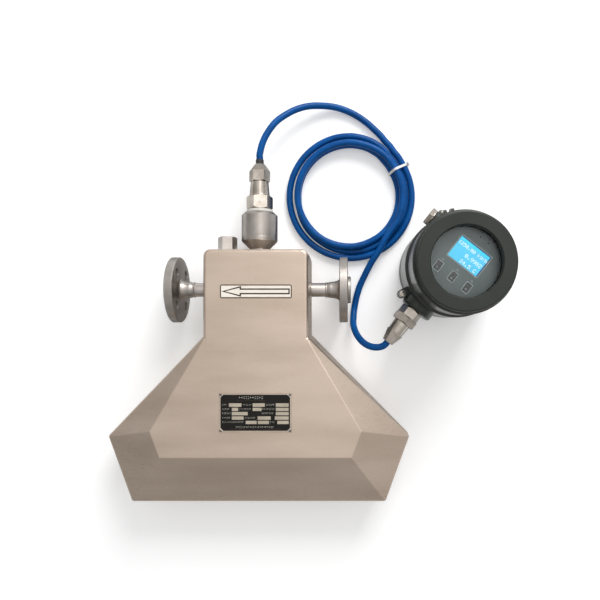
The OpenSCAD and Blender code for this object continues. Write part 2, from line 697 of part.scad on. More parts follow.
module window_ring() color(black) at_transmitter()
    translate([0, 0, glass_lo - 6])
        ring(2 * (front_plug_r - 8 - gap), window_d + 0.6, 6, $fn = 128);

module o_ring(plug_r, z) {
    translate([0, 0, z]) rotate_extrude($fn = 128) translate([plug_r, 0]) circle(r = seal_r, $fn = 32);
}

module front_seal() color(black) at_transmitter()
    o_ring(front_plug_r, cover_seat - 1.9);

module rear_seal() color(black) at_transmitter()
    o_ring(rear_plug_r, rear_seat + 1.9);

module rear_cover() color(dark) at_transmitter() difference() {
    rotate_extrude($fn = 128) polygon([
        [0, 0], [body_d / 2 - 3, 0], [body_d / 2 - 0.8, 1], [body_d / 2, 3],
        [body_d / 2, rear_seat - 0.6], [body_d / 2 - 0.6, rear_seat],
        [rear_plug_r - seal_room, rear_seat], [rear_plug_r - seal_room, rear_seat + 3.8],
        [rear_plug_r, rear_seat + 3.8], [rear_plug_r, rear_seat + plug_len - 0.5],
        [rear_plug_r - 6, rear_seat + plug_len - 0.5], [rear_plug_r - 6, 8], [0, 8]
    ]);
    for (a = [0:90:270]) rotate([0, 0, a + 45]) translate([body_d / 2 - 21, 0, -1]) cylinder(d = 9, h = 5);
}

module display_panel() color("#6b6f70") at_transmitter() translate([0, 0, panel_z])
    linear_extrude(height = panel_t) difference() {
        circle(r = panel_r, $fn = 128);
        translate(lcd_at) square(lcd_field, center = true);
        for (i = [-1:1]) translate([i * key_pitch - 0.3, keys_y]) square(key_field, center = true);
    }

module lcd_module() color("#37c8f0") at_transmitter() translate([lcd_at[0], lcd_at[1], 0]) {
    lift = display_board_z + board_t;
    translate([-lcd_field[0] / 2 - 4, -lcd_field[1] / 2 - 4, lift])
        cube([lcd_field[0] + 8, lcd_field[1] + 8, panel_z - lift]);
    translate([-lcd_field[0] / 2 + gap, -lcd_field[1] / 2 + gap, lift + 1])
        cube([lcd_field[0] - 2 * gap, lcd_field[1] - 2 * gap, panel_z - lift - 0.4 + panel_t - 1]);
}

module display_board() color(board_green) at_transmitter()
    translate([0, 0, display_board_z]) linear_extrude(height = board_t) difference() {
        circle(r = display_board_r, $fn = 128);
        for (a = [0:90:270]) rotate([0, 0, a]) translate([pillar_ring, 0]) circle(d = 3.4, $fn = 32);
    }

module optical_keys() color(black) at_transmitter() for (i = [-1:1]) {
    lift = display_board_z + board_t;
    translate([i * key_pitch - 0.3, keys_y, 0]) difference() {
        translate([-key_field[0] / 2 + gap, -key_field[1] / 2 + gap, lift])
            cube([key_field[0] - 2 * gap, key_field[1] - 2 * gap, panel_z + panel_t - lift - 0.4]);
        translate([0, -2.2, panel_z + panel_t - 1]) cylinder(d = 3, h = 3, $fn = 32);
    }
}

module board_pillars() color(steel) at_transmitter() for (a = [0:90:270])
    rotate([0, 0, a]) translate([pillar_ring, 0, 0]) rotate_extrude($fn = 32) polygon([
        [0, shelf_hi], [3, shelf_hi], [3, main_board_z], [1.5, main_board_z],
        [1.5, main_board_z + board_t], [3, main_board_z + board_t], [3, display_board_z],
        [1.5, display_board_z], [1.5, display_board_z + board_t],
        [3, display_board_z + board_t], [3, panel_z], [0, panel_z]
    ]);

module main_board() color(board_green) at_transmitter() translate([0, 0, main_board_z]) {
    linear_extrude(height = board_t) difference() {
        circle(r = main_board_r, $fn = 128);
        for (a = [0:90:270]) rotate([0, 0, a]) translate([pillar_ring, 0]) circle(d = 3.4, $fn = 32);
    }
    translate([-10, -8, 1]) cube([22, 22, 3.6]);
    translate([18, -24, 1]) cube([12, 18, 13]);
    translate([-30, 16, 1]) cube([14, 10, 8]);
    for (x = [-26, -14]) translate([x, -22, 1]) cylinder(d = 8, h = 13, $fn = 48);
}

module terminal_block() color("#3f7d52") at_transmitter() difference() {
    translate([-38, -22, shelf_lo - 18]) cube([76, 32, 18]);
    for (i = [0:4], y = [-1, 1]) translate([(i - 2) * 14, -6 + y * 9, shelf_lo - 19])
        cylinder(d = 7, h = 9, $fn = 32);
    for (i = [0:4], y = [-1, 1]) translate([(i - 2) * 14 - 3.5, -6 + y * 16 - 4, shelf_lo - 12])
        cube([7, 8, 6]);
}

module terminal_screws() color(steel) at_transmitter() for (i = [0:4], y = [-1, 1])
    translate([(i - 2) * 14, -6 + y * 9, shelf_lo - 15]) difference() {
        cylinder(d = 6.4, h = 5, $fn = 32);
        translate([-4, -0.5, -1]) cube([8, 1, 2.2]);
    }

module ground_washer() color(steel) at_transmitter() rotate([0, 0, lug_angle])
    translate([lug_at, 0, lug_z]) ring(10, 5.4, 1.2);

module ground_screw() color(brass) at_transmitter() rotate([0, 0, lug_angle])
    translate([lug_at, 0, lug_z + 1.2]) difference() {
        union() {
            rotate_extrude($fn = 48) polygon([
                [0, 0], [4.4, 0], [4.4, 2], [3.6, 3.2], [1.5, 3.6], [0, 3.6]
            ]);
            translate([0, 0, -10]) cylinder(d = 4.6, h = 11, $fn = 48);
        }
        translate([-2.6, -0.5, 2]) cube([5.2, 1, 3]);
        translate([-0.5, -2.6, 2]) cube([1, 5.2, 3]);
    }

// children are placed on the blank plug's axis, pointing out of the housing
module on_plug(out = 0) {
    at_transmitter() translate([-out, plug_y, plug_z]) rotate([0, -90, 0]) children();
}

module plug_gasket() color(black) on_plug(plug_face) ring(23.5, 20.6, 1);

module blank_plug() color(brass) on_plug(plug_face) difference() {
    union() {
        translate([0, 0, 1]) hex_bar(23, 7.6, 0, 0.8);
        translate([0, 0, 1]) cylinder(d = 25.5, h = 1.4);
        translate([0, 0, -13]) cylinder(d = 19.4, h = 15);
    }
    translate([0, 0, -14]) cylinder(d = 14, h = 15);
}

module entry_adapter() color(brass) on_entry(entry_face) difference() {
    union() {
        hex_bar(28, 12.6, 0.8, 0);
        translate([0, 0, -14]) cylinder(d = 19.4, h = 15);
        translate([0, 0, 12]) cylinder(d = 17, h = 26);
    }
    translate([0, 0, -15]) cylinder(d = cable_d + 1, h = 70);
}

module entry_lock_nut() color(brass) on_entry(entry_face + 12.6) difference() {
    rotate([0, 0, 30]) hex_bar(tx_gland_af, 11.4);
    translate([0, 0, -1]) cylinder(d = 17.6, h = 20);
}

module entry_sleeve() color(brass) on_entry(entry_face + 24) rotate_extrude() polygon([
    [8.8, 0], [12.3, 0], [12.3, 2], [11.5, 17], [8.8, 17]
]);

module entry_clamp_nut() color(brass) on_entry(entry_face + 41) difference() {
    hex_taper(22.6, 14, entry_tip - entry_face - 41);
    translate([0, 0, -1]) cylinder(d = 17.6, h = 4);
    cylinder(d = 12.3, h = 30);
}

module entry_seal() color(black) on_entry(entry_tip) {
    translate([0, 0, -16]) cylinder(d = 11.7, h = 16);
    translate([0, 0, -17.7]) cylinder(d = 14, h = 2.4);
}

// ---------------------------------------------------------------- cable

module cable_lead_in() color(blue) cord(smooth(lead_in_route, 2), cable_r);
module cable_tail() color(blue) cord(smooth(tail_route, 2), cable_r);

module cable_coil() color(blue) translate([coil_at[0], coil_at[1], 0]) difference() {
    rotate_extrude($fn = 128) polygon(coil_shape);
    rotate([0, 0, tie_angle]) translate([coil_in - 10, -tie_w / 2 - 0.5, -1])
        cube([coil_out - coil_in + 20, tie_w + 1, 2.7]);
}

module cable_tie() color("#eeeeea") translate([coil_at[0], coil_at[1], 0])
    rotate([0, 0, tie_angle]) {
        translate([0, tie_w / 2, 0]) rotate([90, 0, 0]) linear_extrude(height = tie_w)
            difference() {
                intersection() {
                    offset(delta = 1.3) polygon(coil_shape);
                    translate([coil_in - 9, 0.1]) square([60, 40]);
                }
                intersection() {
                    offset(delta = 0.3) polygon(coil_shape);
                    translate([coil_in - 9, 1.4]) square([60, 40]);
                }
            }
        translate([coil_out + 0.8, -2.8, 2.5]) cube([4.2, 5.6, 5]);
    }

// ---------------------------------------------------------------- drawing

case_front();
case_back();
inlet_flange();
outlet_flange();
inlet_pipe();
outlet_pipe();
inlet_manifold();
outlet_manifold();
front_flow_tube();
back_flow_tube();
brace_plates();
drive_coil();
drive_magnet();
pickoff_coils();
pickoff_magnets();
temperature_sensor();
vent_boss();
vent_plug();
junction_boss();
feedthrough();
gland_gasket();
gland_body();
gland_sleeve();
gland_clamp_nut();
gland_seal();
arrow_plate();
name_plate_sheet();
plate_rivets();
housing();
front_cover();
window_glass();
window_ring();
front_seal();
rear_cover();
rear_seal();
display_panel();
lcd_module();
display_board();
optical_keys();
board_pillars();
main_board();
terminal_block();
terminal_screws();
ground_screw();
ground_washer();
blank_plug();
plug_gasket();
entry_adapter();
entry_lock_nut();
entry_sleeve();
entry_clamp_nut();
entry_seal();
cable_lead_in();
cable_coil();
cable_tail();
cable_tie();
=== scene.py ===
"""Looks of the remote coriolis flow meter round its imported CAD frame. Lengths are metres."""

import itertools
import math
import random

import bmesh
import bpy
from mathutils import Matrix, Vector


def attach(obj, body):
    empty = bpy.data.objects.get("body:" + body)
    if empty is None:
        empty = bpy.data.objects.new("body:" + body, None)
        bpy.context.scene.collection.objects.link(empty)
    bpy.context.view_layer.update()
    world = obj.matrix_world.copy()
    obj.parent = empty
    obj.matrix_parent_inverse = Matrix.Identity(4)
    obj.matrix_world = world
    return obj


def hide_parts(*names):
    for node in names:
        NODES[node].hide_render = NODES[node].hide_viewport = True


MM = 0.001
random.seed(7)

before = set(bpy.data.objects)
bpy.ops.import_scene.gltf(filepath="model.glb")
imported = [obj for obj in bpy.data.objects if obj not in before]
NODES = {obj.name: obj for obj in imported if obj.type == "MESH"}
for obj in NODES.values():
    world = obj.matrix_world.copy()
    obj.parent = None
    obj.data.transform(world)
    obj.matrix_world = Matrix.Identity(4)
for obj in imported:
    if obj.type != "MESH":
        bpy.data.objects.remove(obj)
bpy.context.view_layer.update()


# ---- camera

CAMERA_AT = Vector((0.122, -0.0439, 0.867))
LENS_MM = 33.6
SENSOR_MM = 36.0
SHIFT = (-0.0733, 0.0333)
CLIP = (0.01, 50.0)


def make_camera():
    data = bpy.data.cameras.new("camera")
    data.lens = LENS_MM
    data.sensor_width = SENSOR_MM
    data.shift_x, data.shift_y = SHIFT
    data.clip_start, data.clip_end = CLIP
    camera = bpy.data.objects.new("camera", data)
    camera.location = CAMERA_AT
    bpy.context.scene.collection.objects.link(camera)
    bpy.context.scene.camera = camera


make_camera()


# ---- cable

# the cable's route is in millimetres, as in the CAD source
CABLE_R = 5.0
COIL_AT = (132.0, 145.5)
COIL_STEP = 6.0
ROUTE_STEPS = 3
TUBE_RINGS = 6

# from the sensor's gland down to the bench
LEAD_IN = [
    (-1.2, 190, 48), (-1.2, 194, 48), (-1.2, 199, 48), (2.8, 216, 46.5), (9.8, 232, 43),
    (20.8, 249, 38), (35, 262, 32), (51, 273, 25), (68, 280, 18.5), (86, 283, 12.5),
    (104, 283, 8.5), (122, 279, 6.5), (140, 271, 5.6), (157, 259.5, 5.3),
]
# the coil: turn angle in degrees clockwise from +Y, radius, height of the centre line
COIL = [
    (20, 109.5, 5.2), (32, 100.8, 5.1), (45, 96.2, 5.1), (60, 94.3, 5.1), (90, 94.2, 5.1),
    (180, 94.2, 5.1), (270, 93.6, 5.1), (345, 93.6, 5.1), (360, 93.2, 5.1), (375, 91.8, 5.1),
    (392, 89.4, 5.1), (405, 85.8, 5.1), (418, 84.2, 5.1), (450, 84.2, 5.1), (540, 84.2, 5.1),
    (585, 82.2, 5.1), (630, 80.2, 5.1), (720, 80.0, 5.1), (735, 79.5, 5.1), (752, 78.0, 5.1),
    (765, 75.6, 5.1), (780, 74.1, 5.1), (810, 74.0, 5.2), (840, 74.3, 7.2), (870, 75.4, 10.2),
    (900, 77.2, 12.5), (945, 79.2, 14.6), (990, 80.7, 15.2), (1080, 80.6, 15.2),
    (1095, 80.0, 15.2), (1112, 80.0, 15.2), (1125, 79.8, 14.6), (1140, 79.2, 14.0),
    (1170, 79.2, 14.0), (1190, 79.6, 14.2), (1205, 81.2, 15.0),
]
# from the coil over the bench to the transmitter's gland
TAIL = [
    (183.5, 77.5, 16.6), (179, 68.5, 16.2), (172, 56.5, 15), (163.3, 43.2, 11), (154, 25, 7),
    (146.2, 8, 5.3), (141, -9.5, 5.3), (137.9, -26, 6.3), (136.5, -38.5, 12),
    (136.3, -51.6, 21), (141, -65.6, 35), (149.7, -76.4, 45.5), (158.4, -81.6, 52),
    (165.4, -83.3, 54.4), (171.1, -83.5, 55), (175.5, -82.7, 55), (178.7, -81.5, 55),
    (181.4, -79.6, 55), (183.29, -77.63, 55), (184.09, -76.61, 55), (184.89, -75.58, 55),
]


def ease(a, b, c, d, t):
    """A Catmull-Rom value between b and c."""
    return 0.5 * (2 * b + (c - a) * t + (2 * a - 5 * b + 4 * c - d) * t * t
                  + (3 * b - a - 3 * c + d) * t * t * t)


def monotone(keys, x):
    """A value between keys (x, y) that never swings past them."""
    last = len(keys) - 2
    i = max(k for k in range(last + 1) if k == 0 or keys[k][0] <= x)
    (x0, y0), (x1, y1) = keys[i], keys[i + 1]
    t = min(max((x - x0) / (x1 - x0), 0.0), 1.0)
    return y0 + (y1 - y0) * t * t * (3 - 2 * t)


def coil_points():
    """The coil's keys as points, one each COIL_STEP degrees."""
    radius = [(a, r) for a, r, z in COIL]
    height = [(a, z) for a, r, z in COIL]
    points = []
    turn = COIL[0][0]
    while turn <= COIL[-1][0]:
        r, z = monotone(radius, turn), monotone(height, turn)
        a = math.radians(turn)
        points.append((COIL_AT[0] + r * math.sin(a), COIL_AT[1] + r * math.cos(a), z))
        turn += COIL_STEP
    return points


def smoothed(points, steps):
    """A smooth curve through the points, with steps pieces between two of them."""
    out = []
    last = len(points) - 1
    for i in range(last):
        four = [points[max(i - 1, 0)], points[i], points[i + 1], points[min(i + 2, last)]]
        for k in range(steps):
            out.append(tuple(ease(*axis, k / steps) for axis in zip(*four)))
    return out + [points[-1]]


def tube_object(name, points, radius):
    """A round cord as a mesh tube along points in metres, swept by a bevelled curve."""
    line = bpy.data.curves.new(name, "CURVE")
    line.dimensions = "3D"
    line.bevel_depth = radius
    line.bevel_resolution = TUBE_RINGS
    line.use_fill_caps = True
    spline = line.splines.new("POLY")
    spline.points.add(len(points) - 1)
    for point, co in zip(spline.points, points):
        point.co = (*co, 1.0)
    swept = bpy.data.objects.new("swept", line)
    data = bpy.data.meshes.new_from_object(swept)
    data.name = name
    bpy.data.objects.remove(swept)
    bpy.data.curves.remove(line)
    obj = bpy.data.objects.new(name, data)
    bpy.context.scene.collection.objects.link(obj)
    return obj


def make_cable():
    """The signal cable as one tube, with the points that it follows."""
    route = smoothed(LEAD_IN + coil_points() + TAIL, ROUTE_STEPS)
    points = [tuple(v * MM for v in p) for p in route]
    cable = tube_object("signal_cable", points, CABLE_R * MM)
    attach(cable, "base")
    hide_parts("cable_lead_in", "cable_coil", "cable_tail")
    return cable, points


cable, cable_path = make_cable()


# ---- materials

EDGE_R = 0.35 * MM
WEAR_R = 0.9 * MM
BEVEL_SAMPLES = 4
DRIFT_SPAN = (0.35, 0.65)
GLOSS_SPAN = (0.3, 0.7)
# how far the softened normal leaves the true one, from unworn to fully worn
WEAR_SPAN = (0.99, 0.88)
WEAR_GRAIN = 160.0
COAT_ROUGH = 0.15


def node_material(name):
    material = bpy.data.materials.new(name)
    material.use_nodes = True
    tree = material.node_tree
    return material, tree, tree.nodes["Principled BSDF"]


def add_noise(tree, scale, detail=4.0, stretch=(1, 1, 1)):
    """A noise value over the object's own coordinates, in metres."""
    coords = tree.nodes.new("ShaderNodeTexCoord")
    mapping = tree.nodes.new("ShaderNodeMapping")
    mapping.inputs["Scale"].default_value = stretch
    noise = tree.nodes.new("ShaderNodeTexNoise")
    noise.inputs["Scale"].default_value = scale
    noise.inputs["Detail"].default_value = detail
    tree.links.new(coords.outputs["Object"], mapping.inputs["Vector"])
    tree.links.new(mapping.outputs["Vector"], noise.inputs["Vector"])
    return noise.outputs["Fac"]


def add_ramp(tree, value, stops):
    """A colour ramp over a value, from stops of position and colour."""
    ramp = tree.nodes.new("ShaderNodeValToRGB")
    marks = ramp.color_ramp.elements
    while len(marks) < len(stops):
        marks.new(0.5)
    for mark, (position, colour) in zip(marks, stops):
        mark.position, mark.color = position, (*colour, 1)
    tree.links.new(value, ramp.inputs["Fac"])
    return ramp.outputs["Color"]


def add_span(tree, value, low, high, start=0.0, stop=1.0):
    """Start at low, stop at high, and even between them."""
    span = tree.nodes.new("ShaderNodeMapRange")
    span.inputs["From Min"].default_value = low
    span.inputs["From Max"].default_value = high
    span.inputs["To Min"].default_value = start
    span.inputs["To Max"].default_value = stop
    tree.links.new(value, span.inputs["Value"])
    return span.outputs["Result"]


def add_math(tree, operation, a, b):
    node = tree.nodes.new("ShaderNodeMath")
    node.operation = operation
    tree.links.new(a, node.inputs[0])
    tree.links.new(b, node.inputs[1])
    return node.outputs["Value"]


def add_mix(tree, factor, a, b):
    """Shader a where the factor is 0, shader b where it is 1."""
    mix = tree.nodes.new("ShaderNodeMixShader")
    for source, socket in zip((factor, a, b), mix.inputs):
        tree.links.new(source, socket)
    return mix.outputs[0]


def soft_normal(tree, radius):
    """The normal as if every edge were rounded to the radius."""
    soft = tree.nodes.new("ShaderNodeBevel")
    soft.samples = BEVEL_SAMPLES
    soft.inputs["Radius"].default_value = radius
    return soft.outputs["Normal"]


def vary_roughness(tree, shader, value, low, high):
    gloss = add_span(tree, value, *GLOSS_SPAN, low, high)
    tree.links.new(gloss, shader.inputs["Roughness"])


def add_bump(tree, shader, value, strength, depth):
    """Fine relief on top of softly rounded edges."""
    bump = tree.nodes.new("ShaderNodeBump")
    bump.inputs["Strength"].default_value = strength
    bump.inputs["Distance"].default_value = depth
    tree.links.new(value, bump.inputs["Height"])
    tree.links.new(soft_normal(tree, EDGE_R), bump.inputs["Normal"])
    tree.links.new(bump.outputs["Normal"], shader.inputs["Normal"])


def add_wear(tree, colour, worn, amount):
    """Mixes a worn colour in where a convex edge turns."""
    flat = tree.nodes.new("ShaderNodeNewGeometry")
    dot = tree.nodes.new("ShaderNodeVectorMath")
    dot.operation = "DOT_PRODUCT"
    tree.links.new(soft_normal(tree, WEAR_R), dot.inputs[0])
    tree.links.new(flat.outputs["Normal"], dot.inputs[1])
    turned = add_span(tree, dot.outputs["Value"], *WEAR_SPAN, 0.0, amount)
    patch = add_math(tree, "MULTIPLY", turned, add_noise(tree, WEAR_GRAIN, 3.0))
    mix = tree.nodes.new("ShaderNodeMix")
    mix.data_type = "RGBA"
    tree.links.new(patch, mix.inputs["Factor"])
    tree.links.new(colour, mix.inputs["A"])
    mix.inputs["B"].default_value = (*worn, 1)
    return mix.outputs["Result"]


def colour_drift(tree, value, dark, light):
    return add_ramp(tree, value, tuple(zip(DRIFT_SPAN, (dark, light))))


def surface(name, dark, light, rough, metal=0.0, scale=60.0, grain=900.0, depth=0.00004,
            stretch=(1, 1, 1), lay=(1, 1, 1), strength=0.35, coat=0.0, worn=None, wear=0.8,
            rim=None, spec=0.5):
    """A finish with broad colour drift, fine grain, uneven gloss and worn edges.

    scale and grain are the noises' sizes per metre, stretch and lay their directions, rough the
    range of roughness, strength and depth the relief, and rim a metal's tint at a low angle.
    """
    material, tree, shader = node_material(name)
    shader.inputs["Metallic"].default_value = metal
    shader.inputs["Specular IOR Level"].default_value = spec
    if rim:
        shader.inputs["Specular Tint"].default_value = (*rim, 1)
    if coat:
        shader.inputs["Coat Weight"].default_value = coat
        shader.inputs["Coat Roughness"].default_value = COAT_ROUGH
    broad = add_noise(tree, scale, 5.0, stretch)
    fine = add_noise(tree, grain, 3.0, lay)
    colour = colour_drift(tree, broad, dark, light)
    if worn:
        colour = add_wear(tree, colour, worn, wear)
    tree.links.new(colour, shader.inputs["Base Color"])
    vary_roughness(tree, shader, fine, *rough)
    add_bump(tree, shader, fine, strength, depth)
    return material


DARK_RIM = (0.35, 0.35, 0.36)
CASE = surface("case_sheet", (0.49, 0.405, 0.33), (0.585, 0.49, 0.41), (0.26, 0.40), metal=0.88,
               scale=9.0, grain=170.0, depth=0.00002, stretch=(0.6, 2.4, 1), lay=(0.5, 7, 1),
               strength=0.1, worn=(0.72, 0.65, 0.57), wear=0.25, rim=(0.45, 0.45, 0.45))
FLANGE = surface("flange_steel", (0.32, 0.30, 0.28), (0.42, 0.395, 0.37), (0.34, 0.46), metal=1.0,
                 scale=45.0, grain=1400.0, lay=(6, 1, 1), worn=(0.75, 0.75, 0.75), rim=DARK_RIM)
PIPE = surface("pipe_steel", (0.42, 0.39, 0.37), (0.54, 0.51, 0.48), (0.26, 0.4), metal=1.0,
               scale=60.0, grain=1100.0, lay=(1, 6, 1), worn=(0.72, 0.7, 0.67), rim=DARK_RIM)
RIVET = surface("rivet_steel", (0.15, 0.125, 0.10), (0.22, 0.19, 0.16), (0.34, 0.46), metal=1.0)
WELD = surface("weld_bead", (0.36, 0.31, 0.27), (0.52, 0.46, 0.40), (0.3, 0.45), metal=1.0,
               scale=120.0, grain=1500.0)
PLATED = surface("plated_brass", (0.37, 0.34, 0.30), (0.50, 0.465, 0.42), (0.18, 0.28),
                 metal=1.0, scale=80.0, grain=1500.0, worn=(0.70, 0.64, 0.54), rim=DARK_RIM)
BOSS = surface("boss_steel", (0.34, 0.32, 0.295), (0.42, 0.395, 0.37), (0.28, 0.4), metal=1.0,
               scale=50.0, grain=1000.0, lay=(1, 8, 1), worn=(0.7, 0.66, 0.62), rim=DARK_RIM)
COPPER = surface("copper_wire", (0.36, 0.13, 0.05), (0.55, 0.22, 0.09), (0.3, 0.45), metal=1.0,
                 scale=200.0, grain=2500.0, lay=(1, 1, 8), strength=0.6)
CHROME = surface("magnet_cup", (0.5, 0.5, 0.52), (0.65, 0.65, 0.67), (0.16, 0.26), metal=1.0)
WHITE_WASHER = surface("white_washer", (0.66, 0.63, 0.58), (0.74, 0.72, 0.67), (0.45, 0.6))
RUBBER = surface("black_rubber", (0.012, 0.012, 0.013), (0.03, 0.03, 0.032), (0.5, 0.7),
                 scale=150.0, grain=1800.0, strength=0.5)
ARROW_SHEET = surface("arrow_sheet", (0.86, 0.79, 0.70), (0.92, 0.86, 0.78), (0.35, 0.5),
                      scale=40.0, grain=900.0, strength=0.15)
NAME_SHEET = surface("name_sheet", (0.42, 0.35, 0.285), (0.50, 0.42, 0.345), (0.3, 0.42),
                     metal=0.6, scale=50.0, grain=1600.0, lay=(1, 10, 1), strength=0.2)
HOUSING = surface("housing_paint", (0.010, 0.016, 0.012), (0.018, 0.025, 0.019), (0.26, 0.36),
                  scale=25.0, grain=520.0, depth=0.00009, strength=0.45, coat=0.2,
                  worn=(0.07, 0.08, 0.07), spec=0.35)
COVER = surface("cover_paint", (0.017, 0.022, 0.018), (0.025, 0.030, 0.025), (0.38, 0.48),
                scale=14.0, grain=620.0, depth=0.00007, strength=0.35, worn=(0.08, 0.09, 0.08),
                spec=0.28)
BLACK_RING = surface("black_ring", (0.012, 0.013, 0.014), (0.03, 0.031, 0.033), (0.16, 0.26))
PANEL = surface("panel_film", (0.16, 0.18, 0.182), (0.20, 0.222, 0.225), (0.34, 0.46),
                scale=18.0, grain=1500.0, strength=0.15)
BOARD = surface("board_green", (0.01, 0.09, 0.035), (0.02, 0.15, 0.06), (0.3, 0.45),
                scale=300.0, grain=2200.0, strength=0.4)
KEY = surface("key_black", (0.028, 0.027, 0.028), (0.042, 0.04, 0.042), (0.12, 0.2), coat=0.4)
ZINC = surface("zinc_steel", (0.5, 0.5, 0.5), (0.66, 0.66, 0.65), (0.25, 0.4), metal=1.0)
TERMINAL = surface("terminal_green", (0.02, 0.13, 0.06), (0.04, 0.2, 0.09), (0.4, 0.55))
SHEATH = surface("cable_blue", (0.0015, 0.062, 0.235), (0.003, 0.085, 0.31), (0.22, 0.32),
                 scale=35.0, grain=900.0, depth=0.00005, strength=0.3, spec=0.12)
NYLON = surface("tie_white", (0.72, 0.72, 0.70), (0.82, 0.82, 0.80), (0.35, 0.5))
INK = surface("black_ink", (0.007, 0.0065, 0.006), (0.012, 0.011, 0.010), (0.5, 0.65), spec=0.18)
BROWN_INK = surface("brown_ink", (0.025, 0.016, 0.01), (0.04, 0.027, 0.019), (0.5, 0.65), spec=0.3)
EDGE_INK = surface("edge_ink", (0.09, 0.062, 0.042), (0.13, 0.095, 0.068), (0.5, 0.65), spec=0.2)
WHITE_INK = surface("white_ink", (0.72, 0.73, 0.74), (0.80, 0.81, 0.82), (0.4, 0.55))
DIM_INK = surface("dim_ink", (0.38, 0.39, 0.39), (0.44, 0.45, 0.45), (0.4, 0.55))
MARK_INK = surface("mark_ink", (0.60, 0.56, 0.48), (0.68, 0.64, 0.56), (0.4, 0.55))
SILVER_FIELD = surface("silver_field", (0.42, 0.37, 0.29), (0.50, 0.44, 0.35), (0.34, 0.46),
                       metal=0.3, scale=90.0, grain=1200.0, lay=(1, 12, 1))

LCD_FILM = (0.01, 0.02, 0.03, 1)
LCD_UNEVEN = 0.94


def lit_material(name, colour, strength):
    """A lit display field: dark film with its own even light."""
    material, tree, shader = node_material(name)
    low = tuple(LCD_UNEVEN * c for c in colour)
    glow = colour_drift(tree, add_noise(tree, 70.0, 2.0), low, colour)
    tree.links.new(glow, shader.inputs["Emission Color"])
    shader.inputs["Emission Strength"].default_value = strength
    shader.inputs["Base Color"].default_value = LCD_FILM
    vary_roughness(tree, shader, add_noise(tree, 500.0), 0.25, 0.4)
    return material


LCD = lit_material("lcd_blue", (0.07, 0.64, 1.0), 1.0)
LCD_TOP = lit_material("lcd_top", (0.003, 0.74, 1.0), 1.0)
LCD_TEXT = lit_material("lcd_text", (0.85, 1.0, 1.0), 1.08)
# painted shade: a dimmer, darker blue glow for the band of the lit face that the window's rim
# shades
LCD_PAINTED_SHADE = lit_material("lcd_painted_shade", (0.008, 0.09, 0.34), 0.7)

GLASS_TINT = (0.95, 0.975, 0.97, 1)
GLASS_IOR = 1.3
GLASS_ROUGH = (0.03, 0.07)


def make_glass():
    """Clear window: lets light through, with a weak reflection at its surface."""
    material, tree, shader = node_material("window_glass")
    tree.nodes.remove(shader)
    clear = tree.nodes.new("ShaderNodeBsdfTransparent")
    clear.inputs["Color"].default_value = GLASS_TINT
    gloss = tree.nodes.new("ShaderNodeBsdfGlossy")
    vary_roughness(tree, gloss, add_noise(tree, 40.0, 3.0), *GLASS_ROUGH)
    fresnel = tree.nodes.new("ShaderNodeFresnel")
    fresnel.inputs["IOR"].default_value = GLASS_IOR
    pane = add_mix(tree, fresnel.outputs["Fac"], clear.outputs[0], gloss.outputs[0])
    tree.links.new(pane, tree.nodes["Material Output"].inputs["Surface"])
    return material


GLASS = make_glass()

FINISHES = {
    "case_front case_back": CASE,
    "inlet_flange outlet_flange": FLANGE,
    "inlet_pipe outlet_pipe inlet_manifold outlet_manifold front_flow_tube back_flow_tube "
    "brace_plates vent_boss vent_plug": PIPE,
    "plate_rivets": RIVET,
    "junction_boss": BOSS,
    "drive_coil pickoff_coils": COPPER,
    "drive_magnet pickoff_magnets": CHROME,
    "gland_body gland_sleeve gland_clamp_nut entry_adapter entry_lock_nut entry_sleeve "
    "entry_clamp_nut blank_plug ground_screw feedthrough temperature_sensor": PLATED,
    "gland_gasket": WHITE_WASHER,
    "gland_seal entry_seal front_seal rear_seal plug_gasket": RUBBER,
    "arrow_plate": ARROW_SHEET,
    "name_plate_sheet": NAME_SHEET,
    "housing": HOUSING,
    "front_cover rear_cover": COVER,
    "window_glass": GLASS,
    "window_ring": BLACK_RING,
    "display_panel": PANEL,
    "lcd_module": LCD,
    "display_board main_board": BOARD,
    "optical_keys": KEY,
    "board_pillars terminal_screws ground_washer": ZINC,
    "terminal_block": TERMINAL,
    "cable_lead_in cable_coil cable_tail": SHEATH,
    "cable_tie": NYLON,
}


def dress(obj, material):
    obj.data.materials.clear()
    obj.data.materials.append(material)


for names, material in FINISHES.items():
    for name in names.split():
        dress(NODES[name], material)


# ---- mesh helpers

FACET_ANGLE = 30.0
ROD_SIDES = 48
SHARPEST_MITRE = 0.2


def loose(bm, name="cutter"):
    """A bmesh as an object of the scene."""
    data = bpy.data.meshes.new(name)
    bm.to_mesh(data)
    bm.free()
    obj = bpy.data.objects.new(name, data)
    bpy.context.scene.collection.objects.link(obj)
    return obj


def link_mesh(name, bm, material):
    """A bmesh as a finished piece that moves with the base."""
    obj = loose(bm, name)
    dress(obj, material)
    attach(obj, "base")
    return obj


def smooth(obj, angle=FACET_ANGLE):
    """Smooth shading that keeps edges sharper than the angle."""
    for face in obj.data.polygons:
        face.use_smooth = True
    limit = math.radians(angle)
    bm = bmesh.new()
    bm.from_mesh(obj.data)
    for edge in bm.edges:
        edge.smooth = len(edge.link_faces) == 2 and edge.calc_face_angle(0.0) < limit
    bm.to_mesh(obj.data)
    bm.free()
    return obj


def boolean(obj, cutter, operation):
    """Applies one exact boolean and removes the cutter."""
    step = obj.modifiers.new("step", "BOOLEAN")
    step.operation = operation
    step.solver = "EXACT"
    step.object = cutter
    depsgraph = bpy.context.evaluated_depsgraph_get()
    result = bpy.data.meshes.new_from_object(obj.evaluated_get(depsgraph))
    obj.modifiers.clear()
    obj.data = result
    bpy.data.objects.remove(cutter)


def box_mesh(low, high):
    bm = bmesh.new()
    centre = [(a + b) / 2 for a, b in zip(low, high)]
    bmesh.ops.create_cube(bm, size=1.0)
    for v in bm.verts:
        v.co = Vector(c + k * (b - a) for c, k, a, b in zip(centre, v.co, low, high))
    return bm


